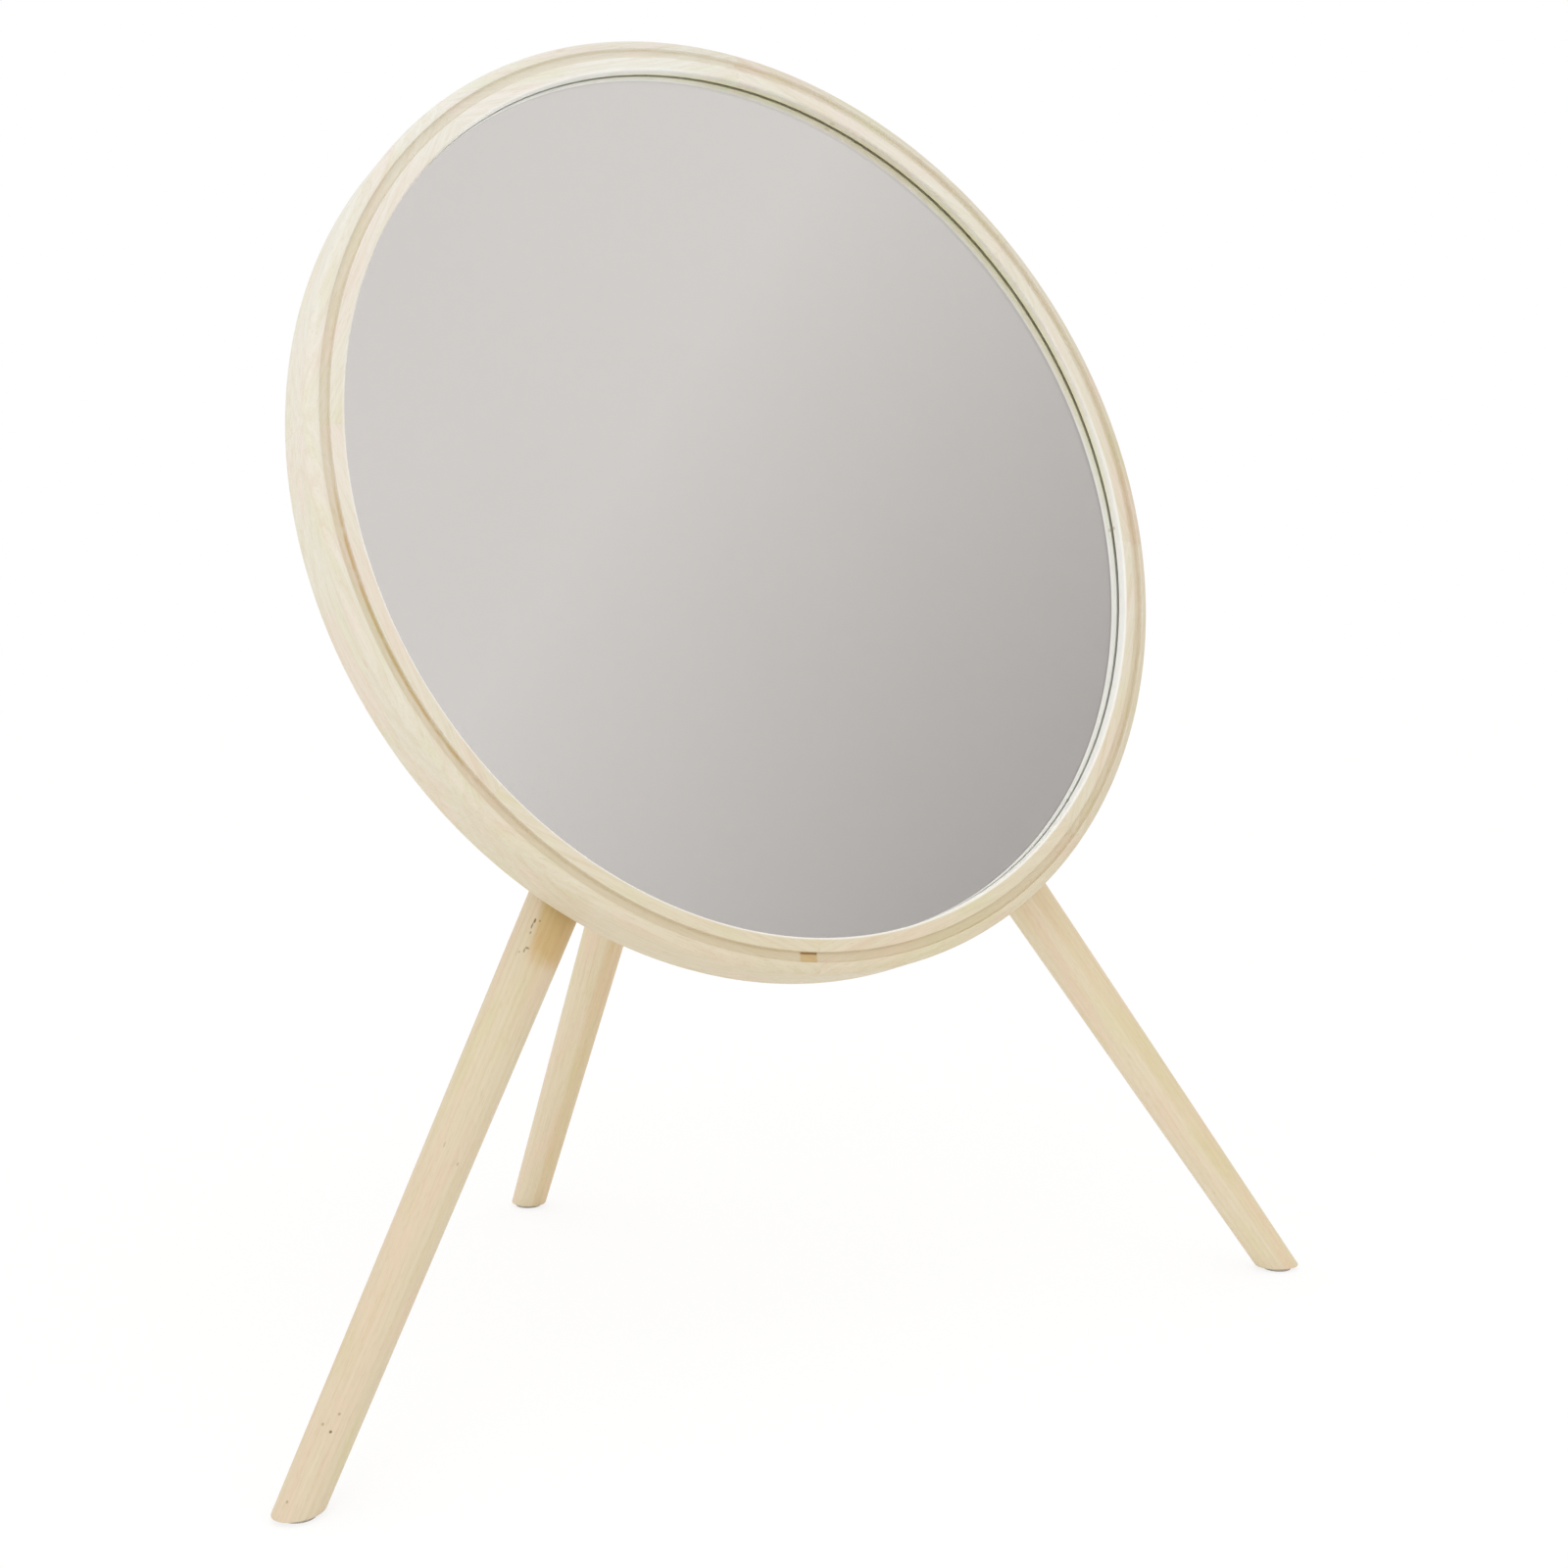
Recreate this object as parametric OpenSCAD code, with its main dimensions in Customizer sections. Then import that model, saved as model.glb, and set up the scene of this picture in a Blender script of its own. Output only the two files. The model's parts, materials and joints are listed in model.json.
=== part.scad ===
// Round floor mirror: a wooden ring, glued up from segments, leans back on
// three tapered round legs that meet in one hub block behind the mirror.
// Millimetres, +Z up, the mirror looks along -Y, the floor is z = 0.

/* [Ring] */
// Outside diameter of the wooden ring
ring_d = 800; // [760:5:860]
// Depth of the ring from its front to its back
ring_depth = 47; // [44:0.5:56]
// Width of the ring's face, from the outside to the sight edge
ring_face_w = 29; // [27:0.5:34]
// Number of glued segments
segment_count = 8; // [6:1:10]
// Clockwise angle of the first glue joint from the top
joint_angle = 6.2; // [0:0.1:20]
// Width of the outer lip, beside the groove
lip_w = 9.5; // [9:0.5:11]
// Radius of the lip's outer rounding
lip_round = 8.5; // [4:0.5:8.5]
// Width of the turned groove
groove_w = 8; // [5:0.5:9]
// Depth of the turned groove
groove_depth = 5; // [2:0.5:6]
// Rounding of the sight edge
sight_round = 2; // [0.5:0.5:3]
// Rounding of the groove's two edges
edge_round = 0.8; // [0.4:0.1:1.5]
// Rounding of the ring's outer back edge
back_round = 3; // [1:0.5:4]

/* [Glass and back] */
// Depth of the glass behind the ring's front
glass_inset = 8.5; // [7.5:0.5:12]
// Thickness of the glass
glass_t = 3; // [2:0.5:6]
// Thickness of the silver coat with its protective paint
silver_t = 0.2; // [0.1:0.1:0.4]
// Thickness of the foam tape behind the glass
tape_t = 4.3; // [3:0.1:6]
// Width of the foam tape
tape_w = 16; // [10:1:25]
// How far the ring's rebate reaches over the edge of the glass
glass_lap = 8; // [6:0.5:9]
// Gap between the edge of the glass and its rebate
glass_gap = 1.5; // [1:0.5:3]
// Width of the shoulder that the back panel is screwed to
panel_shoulder = 12; // [11:0.5:13]
// Gap between the edge of the back panel and the ring
panel_gap = 0.5; // [0.3:0.1:1]
// Thickness of the plywood back panel
panel_t = 12; // [9:0.5:15]
// Length of a cork edge spacer
spacer_len = 30; // [20:1:50]

/* [Stance] */
// Height of the mirror's centre above the floor
centre_height = 705; // [680:5:760]
// Angle that the mirror leans back from upright
lean = 18.4; // [14:0.1:22]
// Distance between the front feet
foot_spread = 953; // [860:1:1000]
// How far the front feet stand in front of the mirror's centre
front_reach = 122; // [100:1:150]
// How far the rear foot stands behind the mirror's centre
rear_reach = 451; // [400:1:500]
// Height of the legs' meeting point above the mirror's centre, along the panel
hub_rise = 35; // [15:1:50]

/* [Legs and hub] */
// Diameter of a leg at its shoulder
leg_top_d = 50; // [44:1:54]
// Diameter of a leg at the floor
leg_foot_d = 33; // [28:1:40]
// Diameter of the round tenon on a leg
tenon_d = 25; // [20:1:27]
// Length of the round tenon
tenon_len = 34; // [28:1:35]
// Chamfer on the end of the tenon
tenon_chamfer = 2; // [1:0.5:3]
// Play between a tenon and its socket, measured on the radius
tenon_fit = 0.1; // [0.05:0.05:0.3]
// Distance from the legs' meeting point to each leg's shoulder
shoulder_dist = 66; // [62:1:80]
// Wood left between a leg's edge and the hub's side
hub_margin = 13; // [10:1:18]
// Width of the hub across its trimmed corners
hub_w = 120; // [112:1:126]
// Trimmed top of the hub, above the legs' meeting point
hub_top = 54; // [46:1:60]
// Gap between a leg's edge and the back panel at the legs' meeting point
leg_panel_gap = 0.3; // [0.3:0.1:6]

/* [Feet] */
// Diameter of a foot glide
glide_d = 25; // [20:1:27]
// Thickness of the felt on a glide
felt_t = 2; // [1.5:0.5:5]
// Thickness of the plate that carries the felt
plate_t = 1; // [0.8:0.1:2]
// Diameter of the nail on the plate
nail_d = 2.5; // [2:0.1:3]
// Length of the nail
nail_len = 16; // [12:1:20]

/* [Fasteners] */
// Diameter of a back panel screw
panel_screw_d = 3.5; // [3:0.5:4]
// Length of a back panel screw
panel_screw_len = 20; // [18:1:22]
// Diameter of a hub screw
hub_screw_d = 5; // [4:0.5:6]
// Length of a hub screw
hub_screw_len = 50; // [40:1:52]
// Diameter of a leg lock screw
lock_screw_d = 7; // [6:0.5:8]
// How far a lock screw reaches past the middle of its tenon
lock_screw_reach = 18; // [15:1:20]
// Diameter of a dowel between two segments
dowel_d = 6; // [5:0.5:6]
// Length of a dowel
dowel_len = 30; // [20:1:40]
// Clearance of fasteners and dowels in their holes, on the radius
hole_fit = 0.1; // [0.05:0.05:0.3]

/* [Hidden] */
$fn = 96;

ash = "#e6d9bd";
ply = "#d9c39a";
steel = "#9a9ca0";
zinc = "#c9cbd0";
felt = "#8d8a84";
cork = "#b98f5e";
foam = "#3c3c3e";
pane = "#b9c4c4";
silver = "#d5d8da";

// Ring section, radii from the mirror's axis and depths behind its front
outer_r = ring_d / 2;
sight_r = outer_r - ring_face_w;
groove_r = outer_r - lip_w - groove_w;
rebate_r = sight_r + glass_lap;
shoulder_r = rebate_r + panel_shoulder;
glass_r = rebate_r - glass_gap;
panel_r = shoulder_r - panel_gap;
silver_depth = glass_inset + glass_t;
tape_depth = silver_depth + silver_t;
panel_depth = tape_depth + tape_t;
panel_back = panel_depth + panel_t;
segment_angle = 360 / segment_count;

// Stance: the head is the ring with all that it holds
pad_h = felt_t + plate_t;
hub_setback = panel_back + leg_top_d / 2 + leg_panel_gap;
hub_y = hub_setback * cos(lean) + hub_rise * sin(lean);
hub_z = centre_height - hub_setback * sin(lean) + hub_rise * cos(lean);
foot_half = leg_foot_d / 2;
front_slope = (front_reach + hub_y) / hub_z;
rear_slope = (rear_reach - hub_y) / hub_z;
front_most = -front_reach + front_slope * pad_h - foot_half * sqrt(1 + pow(front_slope, 2));
rear_most = rear_reach - rear_slope * pad_h + foot_half * sqrt(1 + pow(rear_slope, 2));
head_y = -(front_most + rear_most) / 2;
hub_point = [0, head_y + hub_y, hub_z];
foot_left = [-foot_spread / 2, head_y - front_reach, 0];
foot_rear = [0, head_y + rear_reach, 0];
back_dir = [0, cos(lean), -sin(lean)];
out_left = cross(back_dir, foot_left - hub_point);
out_rear = [0, 1, 0];

// Hub and fasteners
hub_side = leg_top_d / 2 + hub_margin;
lock_z = shoulder_dist - tenon_len / 2;
lock_head_d = 1.45 * lock_screw_d;
socket_slack = 1;
hub_screw_spots = [[-14, 34], [14, 34], [-44, -18], [44, -18], [0, -58]];
panel_screw_r = (rebate_r + panel_r) / 2;
dowel_r = [rebate_r + 1.1 * dowel_d, outer_r - 0.95 * dowel_d];
dowel_depth = (groove_depth + panel_depth) / 2;
spacer_angles = [90, 155, 205, 270];
eps = 0.01;
big = 400;

function unit(v) = v / norm(v);

// Puts children on the leaning head: x right, y up the panel, z to the viewer
module head() {
    translate([0, head_y, centre_height]) rotate([90 - lean, 0, 0]) children();
}

// Turns children clockwise from the top of the ring, which is their +Y
module clockwise(a) {
    rotate([0, 0, -a]) children();
}

// Puts children on a leg's axis: z from the meeting point to the foot, x outwards
module on_axis(foot, out) {
    w = unit(foot - hub_point);
    u = unit(out - (out * w) * w);
    v = cross(w, u);
    multmatrix([[u[0], v[0], w[0], hub_point[0]],
                [u[1], v[1], w[1], hub_point[1]],
                [u[2], v[2], w[2], hub_point[2]],
                [0, 0, 0, 1]]) children();
}

// Puts children on the three leg axes in turn
module on_each_axis() {
    on_axis(foot_left, out_left) children();
    mirror([1, 0, 0]) on_axis(foot_left, out_left) children();
    on_axis(foot_rear, out_rear) children();
}

// Countersunk screw with a cross recess, head at z = 0, point at z = -length
module countersunk(d, length) {
    head_d = 2 * d;
    head_h = (head_d - d) / 2;
    difference() {
        union() {
            translate([0, 0, -head_h]) cylinder(h = head_h, d1 = d, d2 = head_d, $fn = 32);
            translate([0, 0, d - length]) cylinder(h = length - d - head_h + eps, d = d, $fn = 32);
            translate([0, 0, -length]) cylinder(h = d + eps, d1 = 0.4, d2 = d, $fn = 32);
        }
        for (turn = [0, 90]) rotate([0, 0, turn])
            translate([-0.55 * d, -0.12 * d, -0.35 * d]) cube([1.1 * d, 0.24 * d, d]);
    }
}

// Hole for a countersunk screw, clear by the fastener fit
module countersunk_hole(d, length) {
    head_d = 2 * d;
    head_h = (head_d - d) / 2;
    translate([0, 0, -head_h]) cylinder(h = head_h, d1 = d + 2 * hole_fit, d2 = head_d + 2 * hole_fit);
    translate([0, 0, -length - hole_fit]) cylinder(h = length, d = d + 2 * hole_fit);
}

// Turned section of the ring: x is the radius, y the depth as a negative number
module ring_section() {
    difference() {
        union() {
            translate([sight_r + sight_round, -glass_inset])
                square([ring_face_w - sight_round - lip_round, glass_inset]);
            translate([sight_r + sight_round, -sight_round]) circle(sight_round);
            translate([outer_r - lip_round, -lip_round]) circle(lip_round);
            translate([sight_r, -glass_inset]) square([2 * sight_round, glass_inset - sight_round]);
            translate([rebate_r, -panel_depth])
                square([outer_r - lip_round - rebate_r, panel_depth - sight_round]);
            translate([rebate_r, -panel_depth])
                square([outer_r - rebate_r, panel_depth - lip_round]);
            translate([shoulder_r, back_round - ring_depth])
                square([outer_r - shoulder_r, ring_depth - back_round - lip_round]);
            translate([shoulder_r, -ring_depth])
                square([outer_r - back_round - shoulder_r, ring_depth - lip_round]);
            translate([outer_r - back_round, back_round - ring_depth]) circle(back_round);
        }
        translate([groove_r, -groove_depth]) square([groove_w, groove_depth + 1]);
        groove_edge(groove_r, -1);
        groove_edge(groove_r + groove_w, 1);
    }
}

// Small rounding cut on one edge of the groove, on the side away from it
module groove_edge(edge_r, side) {
    difference() {
        translate([edge_r + side * edge_round / 2, 0])
            square([edge_round + 2 * eps, 2 * edge_round], center = true);
        translate([edge_r + side * edge_round, -edge_round]) circle(edge_round);
    }
}

// Places children at the two dowel holes of a glue joint, along the joint's normal
module at_dowels() {
    for (r = dowel_r) translate([0, r, -dowel_depth]) rotate([0, 90, 0]) children();
}

module ring_segment(index) {
    start = joint_angle + (index - 1) * segment_angle;
    color(ash) head() difference() {
        clockwise(start + segment_angle - 90) rotate_extrude(angle = segment_angle, $fn = 180)
            ring_section();
        for (joint = [start, start + segment_angle]) clockwise(joint) at_dowels()
            cylinder(h = dowel_len + 2 * hole_fit, d = dowel_d + 2 * hole_fit, center = true);
        for (part = [0.25, 0.75]) clockwise(start + part * segment_angle)
            panel_screw_place() countersunk_hole(panel_screw_d, panel_screw_len);
    }
}

module panel_screw_place() {
    translate([0, panel_screw_r, -panel_back]) rotate([180, 0, 0]) children();
}

module at_panel_screws() {
    for (index = [0 : segment_count - 1], part = [0.25, 0.75])
        clockwise(joint_angle + (index + part) * segment_angle) panel_screw_place() children();
}

module segment_dowels() {
    color(ash) head() for (index = [0 : segment_count - 1])
        clockwise(joint_angle + index * segment_angle) at_dowels()
            cylinder(h = dowel_len, d = dowel_d, center = true, $fn = 32);
}

module mirror_glass() {
    color(pane) head() translate([0, 0, -silver_depth]) cylinder(h = glass_t, r = glass_r, $fn = 180);
}

module silver_coat() {
    color(silver) head() translate([0, 0, -tape_depth]) cylinder(h = silver_t, r = glass_r, $fn = 180);
}

module glass_edge_spacers() {
    span = spacer_len / glass_r * 180 / PI;
    color(cork) head() for (a = spacer_angles) clockwise(a + span / 2 - 90)
        rotate_extrude(angle = span, $fn = 180)
            translate([glass_r, -silver_depth]) square([glass_gap, glass_t]);
}

module cushion_tape() {
    butt_gap = 1;
    color(foam) head() clockwise(-90) rotate_extrude(angle = 360 - butt_gap, $fn = 180)
        translate([sight_r - tape_w, -panel_depth]) square([tape_w, tape_t]);
}

module at_hub_screws() {
    for (spot = hub_screw_spots) translate([spot[0], hub_rise + spot[1], -panel_depth]) children();
}

module back_panel() {
    color(ply) head() difference() {
        translate([0, 0, -panel_back]) cylinder(h = panel_t, r = panel_r, $fn = 180);
        at_panel_screws() countersunk_hole(panel_screw_d, panel_screw_len);
        at_hub_screws() countersunk_hole(hub_screw_d, hub_screw_len);
    }
}

module back_panel_screws() {
    color(zinc) head() at_panel_screws() countersunk(panel_screw_d, panel_screw_len);
}

module hub_screws() {
    color(zinc) head() at_hub_screws() countersunk(hub_screw_d, hub_screw_len);
}

// Wood that one leg leaves of the hub: square to the axis at the shoulder and
// parallel to it along the outer side
module hub_side_limit() {
    translate([-big, -big, -big]) cube([big + hub_side, 2 * big, big + shoulder_dist]);
}

// Places children on a leg's lock screw: z out of the hub's side, along the screw
module at_lock_screw() {
    translate([hub_side, 0, lock_z]) rotate([0, 90, 0]) children();
}

module leg_hub() {
    color(ash) difference() {
        intersection() {
            head() translate([-hub_w / 2, -big, -big]) cube([hub_w, big + hub_rise + hub_top, big - panel_back]);
            on_axis(foot_left, out_left) hub_side_limit();
            mirror([1, 0, 0]) on_axis(foot_left, out_left) hub_side_limit();
            on_axis(foot_rear, out_rear) hub_side_limit();
        }
        on_each_axis() translate([0, 0, shoulder_dist - tenon_len - socket_slack])
            cylinder(h = tenon_len + socket_slack + 1, r = tenon_d / 2 + tenon_fit);
        on_each_axis() at_lock_screw() lock_screw_hole();
        head() at_hub_screws() countersunk_hole(hub_screw_d, hub_screw_len);
    }
}

module lock_screw() {
    head_h = (lock_head_d - lock_screw_d) / 2;
    length = hub_side + lock_screw_reach;
    difference() {
        union() {
            translate([0, 0, -head_h]) cylinder(h = head_h, d1 = lock_screw_d, d2 = lock_head_d, $fn = 32);
            translate([0, 0, -length]) cylinder(h = length - head_h + eps, d = lock_screw_d, $fn = 32);
        }
        translate([0, 0, -lock_screw_d / 2]) cylinder(h = lock_screw_d, d = 0.55 * lock_screw_d, $fn = 6);
    }
}

module lock_screw_hole() {
    head_h = (lock_head_d - lock_screw_d) / 2;
    length = hub_side + lock_screw_reach;
    translate([0, 0, -head_h])
        cylinder(h = head_h + eps, d1 = lock_screw_d + 2 * hole_fit, d2 = lock_head_d + 2 * hole_fit);
    translate([0, 0, -length - hole_fit]) cylinder(h = length, d = lock_screw_d + 2 * hole_fit);
}

module leg_lock_screws() {
    color(steel) on_each_axis() at_lock_screw() lock_screw();
}

// One leg with its tenon, the floor cut and the holes for lock screw and nail
module leg(foot, out) {
    length = norm(foot - hub_point);
    taper = (leg_top_d - leg_foot_d) / (length - shoulder_dist);
    overrun = leg_top_d;
    color(ash) difference() {
        on_axis(foot, out) union() {
            translate([0, 0, shoulder_dist])
                cylinder(h = length + overrun - shoulder_dist, d1 = leg_top_d,
                         d2 = leg_foot_d - overrun * taper);
            translate([0, 0, shoulder_dist - tenon_len + tenon_chamfer])
                cylinder(h = tenon_len - tenon_chamfer + eps, d = tenon_d);
            translate([0, 0, shoulder_dist - tenon_len])
                cylinder(h = tenon_chamfer + eps, d1 = tenon_d - 2 * tenon_chamfer, d2 = tenon_d);
        }
        translate([foot[0] - big / 2, foot[1] - big / 2, pad_h - big]) cube([big, big, big]);
        on_axis(foot, out) at_lock_screw() lock_screw_hole();
        at_foot(foot) cylinder(h = nail_len + hole_fit, r = nail_d / 2 + hole_fit, $fn = 32);
    }
}

// Places children where a leg's axis meets its floor cut
module at_foot(foot) {
    translate(foot + (hub_point - foot) * pad_h / hub_z) children();
}

module foot_felt(foot) {
    color(felt) at_foot(foot) translate([0, 0, -pad_h]) cylinder(h = felt_t, d = glide_d);
}

module nail_plate(foot) {
    at_foot(foot) {
        translate([0, 0, -plate_t]) cylinder(h = plate_t, d = glide_d);
        cylinder(h = nail_len - nail_d, d = nail_d, $fn = 32);
        translate([0, 0, nail_len - nail_d - eps]) cylinder(h = nail_d, d1 = nail_d, d2 = 0.3, $fn = 32);
    }
}

module foot_nail_plates() {
    color(steel) {
        nail_plate(foot_left);
        mirror([1, 0, 0]) nail_plate(foot_left);
        nail_plate(foot_rear);
    }
}

ring_segment(1);  // ring_segment_1
ring_segment(2);  // ring_segment_2
ring_segment(3);  // ring_segment_3
ring_segment(4);  // ring_segment_4
ring_segment(5);  // ring_segment_5
ring_segment(6);  // ring_segment_6
ring_segment(7);  // ring_segment_7
ring_segment(8);  // ring_segment_8
segment_dowels();
mirror_glass();
silver_coat();
glass_edge_spacers();
cushion_tape();
back_panel();
back_panel_screws();
leg_hub();
hub_screws();
leg(foot_left, out_left);  // leg_left
mirror([1, 0, 0]) leg(foot_left, out_left);  // leg_right
leg(foot_rear, out_rear);  // leg_rear
leg_lock_screws();
foot_felt(foot_left);  // foot_felt_left
mirror([1, 0, 0]) foot_felt(foot_left);  // foot_felt_right
foot_felt(foot_rear);  // foot_felt_rear
foot_nail_plates();
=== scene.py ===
"""Finish, light and camera of the round floor mirror.

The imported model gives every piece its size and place. The classes below dress those
pieces, and remake the turned ring, the glass, the legs and the felt pads with a finer
surface in the same space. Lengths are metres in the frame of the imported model.
"""

import json
import logging
import math
import random
from dataclasses import dataclass, field
from enum import Enum
from typing import Callable, ClassVar, Optional, Sequence, Union

import bpy
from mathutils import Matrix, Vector, noise


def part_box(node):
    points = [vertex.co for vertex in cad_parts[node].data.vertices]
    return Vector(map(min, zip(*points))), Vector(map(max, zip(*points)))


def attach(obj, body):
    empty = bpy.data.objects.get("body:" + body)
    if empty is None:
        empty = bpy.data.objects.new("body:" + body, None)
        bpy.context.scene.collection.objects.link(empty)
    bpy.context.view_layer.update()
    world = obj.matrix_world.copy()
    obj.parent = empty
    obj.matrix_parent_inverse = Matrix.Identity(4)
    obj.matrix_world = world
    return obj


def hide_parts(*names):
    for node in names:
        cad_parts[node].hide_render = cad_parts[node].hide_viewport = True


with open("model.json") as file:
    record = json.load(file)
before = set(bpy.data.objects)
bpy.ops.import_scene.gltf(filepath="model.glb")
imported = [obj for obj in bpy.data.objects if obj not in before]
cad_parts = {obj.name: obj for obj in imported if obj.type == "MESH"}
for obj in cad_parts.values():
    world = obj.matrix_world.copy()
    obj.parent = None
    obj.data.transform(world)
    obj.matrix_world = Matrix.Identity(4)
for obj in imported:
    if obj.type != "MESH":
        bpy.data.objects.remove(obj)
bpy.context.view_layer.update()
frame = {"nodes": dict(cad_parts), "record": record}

Colour = tuple[float, float, float]
Face = Sequence[int]
Input = Union["Socket", float, Sequence[float]]
Outline = list[tuple[float, float]]
Scale = tuple[float, float, float]
Span = tuple[float, float]

MM = 0.001
BODY = "root"
SHARP_EDGE = math.radians(32)
PLAIN: Colour = (1.0, 1.0, 1.0)

log = logging.getLogger("floor_mirror")


def rgb(red: int, green: int, blue: int) -> Colour:
    """Linear colour of an 8-bit screen colour.

    Args:
        red: red, from 0 to 255.
        green: green, from 0 to 255.
        blue: blue, from 0 to 255.

    Returns:
        The same colour as linear shares.
    """
    def linear(value: int) -> float:
        """Linear share of one 8-bit value."""
        share = value / 255
        return share / 12.92 if share <= 0.04045 else ((share + 0.055) / 1.055) ** 2.4

    return linear(red), linear(green), linear(blue)


class Socket:
    """An output of a shader node that Python's operators work on."""

    def __init__(self, graph: "Graph", output: bpy.types.NodeSocket) -> None:
        """Wraps one output of a node in the graph."""
        self.graph = graph
        self.output = output

    def _maths(self, operation: str, *inputs: Input, output: int = 0) -> "Socket":
        """Adds the maths node that fits this socket's kind.

        Args:
            operation: Blender's name of the operation.
            inputs: values or sockets, in the node's order.
            output: number of the output that is wanted.

        Returns:
            The result.
        """
        kind = "ShaderNodeMath" if self.output.type == "VALUE" else "ShaderNodeVectorMath"
        return self.graph.node(kind, {"operation": operation}, dict(enumerate(inputs)), output)

    def __add__(self, other: Input) -> "Socket":
        """This plus the other."""
        return self._maths("ADD", self, other)

    def __radd__(self, other: Input) -> "Socket":
        """The other plus this."""
        return self._maths("ADD", other, self)

    def __sub__(self, other: Input) -> "Socket":
        """This minus the other."""
        return self._maths("SUBTRACT", self, other)

    def __rsub__(self, other: Input) -> "Socket":
        """The other minus this."""
        return self._maths("SUBTRACT", other, self)

    def __mul__(self, other: Input) -> "Socket":
        """This times the other."""
        return self._maths("MULTIPLY", self, other)

    def __rmul__(self, other: Input) -> "Socket":
        """The other times this."""
        return self._maths("MULTIPLY", other, self)

    def __truediv__(self, other: Input) -> "Socket":
        """This divided by the other."""
        return self._maths("DIVIDE", self, other)

    def __pow__(self, other: Input) -> "Socket":
        """This to the power of the other."""
        return self._maths("POWER", self, other)

    def __abs__(self) -> "Socket":
        """This without its sign."""
        return self._maths("ABSOLUTE", self)

    def fraction(self) -> "Socket":
        """What is left of this above its whole number."""
        return self._maths("FRACT" if self.output.type == "VALUE" else "FRACTION", self)

    def maximum(self, other: Input) -> "Socket":
        """The larger of this and the other."""
        return self._maths("MAXIMUM", self, other)

    def minimum(self, other: Input) -> "Socket":
        """The smaller of this and the other."""
        return self._maths("MINIMUM", self, other)

    def dot(self, other: Input) -> "Socket":
        """Share of this vector along the other."""
        return self._maths("DOT_PRODUCT", self, other, output=1)

    def length(self) -> "Socket":
        """Length of this vector."""
        return self._maths("LENGTH", self, output=1)

    def between(self, low: float, high: float) -> "Socket":
        """Smooth step of this value.

        Args:
            low: value that gives 0.
            high: value that gives 1.

        Returns:
            The step, from 0 to 1.
        """
        return self.graph.node("ShaderNodeMapRange", {"interpolation_type": "SMOOTHSTEP"},
                               {0: self, 1: low, 2: high, 3: 0.0, 4: 1.0})

    def within(self, rise: Span, fall: Span) -> "Socket":
        """Smooth share of what lies past one step and short of another.

        Args:
            rise: values where the share starts and where it is full.
            fall: values where it is full for the last time and where it has ended.

        Returns:
            The share, from 0 to 1.
        """
        return self.between(*rise) * (1.0 - self.between(*fall))

    def sibling(self, name: str) -> "Socket":
        """Another output of the same node."""
        return Socket(self.graph, self.output.node.outputs[name])


class Graph:
    """The nodes of one material, world or lamp."""

    def __init__(self, tree: bpy.types.NodeTree) -> None:
        """Starts with an empty tree."""
        self.tree = tree
        tree.nodes.clear()

    def node(self, kind: str, settings: Optional[dict[str, object]] = None,
             inputs: Optional[dict[Union[int, str], Input]] = None,
             output: Union[int, str] = 0) -> Optional[Socket]:
        """Adds one node, its settings first and its sockets after them.

        Args:
            kind: Blender's type of the node.
            settings: properties of the node by name.
            inputs: value or link of each socket, by name or number.
            output: name or number of the output that is wanted.

        Returns:
            That output, or None for a node without outputs.
        """
        made = self.tree.nodes.new(kind)
        for name, value in (settings or {}).items():
            setattr(made, name, value)
        for key, value in (inputs or {}).items():
            self._feed(made.inputs[key], value)
        return Socket(self, made.outputs[output]) if made.outputs else None

    def _feed(self, socket: bpy.types.NodeSocket, value: Input) -> None:
        """Links a socket, or sets its value.

        Args:
            socket: input of a node.
            value: another socket, a number or a colour.
        """
        if isinstance(value, Socket):
            self.tree.links.new(value.output, socket)
        elif socket.type == "RGBA":
            socket.default_value = (*value, 1.0)
        elif socket.type == "VECTOR" and isinstance(value, (int, float)):
            socket.default_value = (value, value, value)
        else:
            socket.default_value = value

    def point(self) -> Socket:
        """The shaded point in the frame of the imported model."""
        return self.node("ShaderNodeTexCoord", output="Object")

    def normal(self) -> Socket:
        """The surface's own normal."""
        return self.node("ShaderNodeNewGeometry", output="Normal")

    def cloud(self, where: Socket, scale: Input, detail: float = 2.0) -> Socket:
        """Noise, about 0.5 on average.

        Args:
            where: point in metres.
            scale: features per metre, along each axis.
            detail: number of finer layers.

        Returns:
            The noise, from 0 to 1.
        """
        return self.node("ShaderNodeTexNoise", None,
                         {"Vector": where * scale, "Scale": 1.0, "Detail": detail})

    def mix(self, share: Input, first: Input, second: Input) -> Socket:
        """Blend of two colours.

        Args:
            share: how much of the second colour shows.
            first: first colour.
            second: second colour.

        Returns:
            The blended colour.
        """
        return self.node("ShaderNodeMix", {"data_type": "RGBA"},
                         {0: share, 6: first, 7: second}, 2)

    def tinted(self, colour: Input, share: Input, tint: Colour) -> Socket:
        """A colour, seen through a share of a tint.

        Args:
            colour: the colour.
            share: how much of the tint shows.
            tint: what the colour is multiplied by where the share is 1.

        Returns:
            The tinted colour.
        """
        return self.mix(share, PLAIN, tint) * colour

    def relief(self, height: Socket, depth: float) -> Socket:
        """Normal of a fine relief.

        Args:
            height: relief from 0 to 1.
            depth: height of the relief in metres.

        Returns:
            The bent normal.
        """
        return self.node("ShaderNodeBump", None,
                         {"Height": height, "Distance": depth, "Strength": 1.0})


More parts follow.
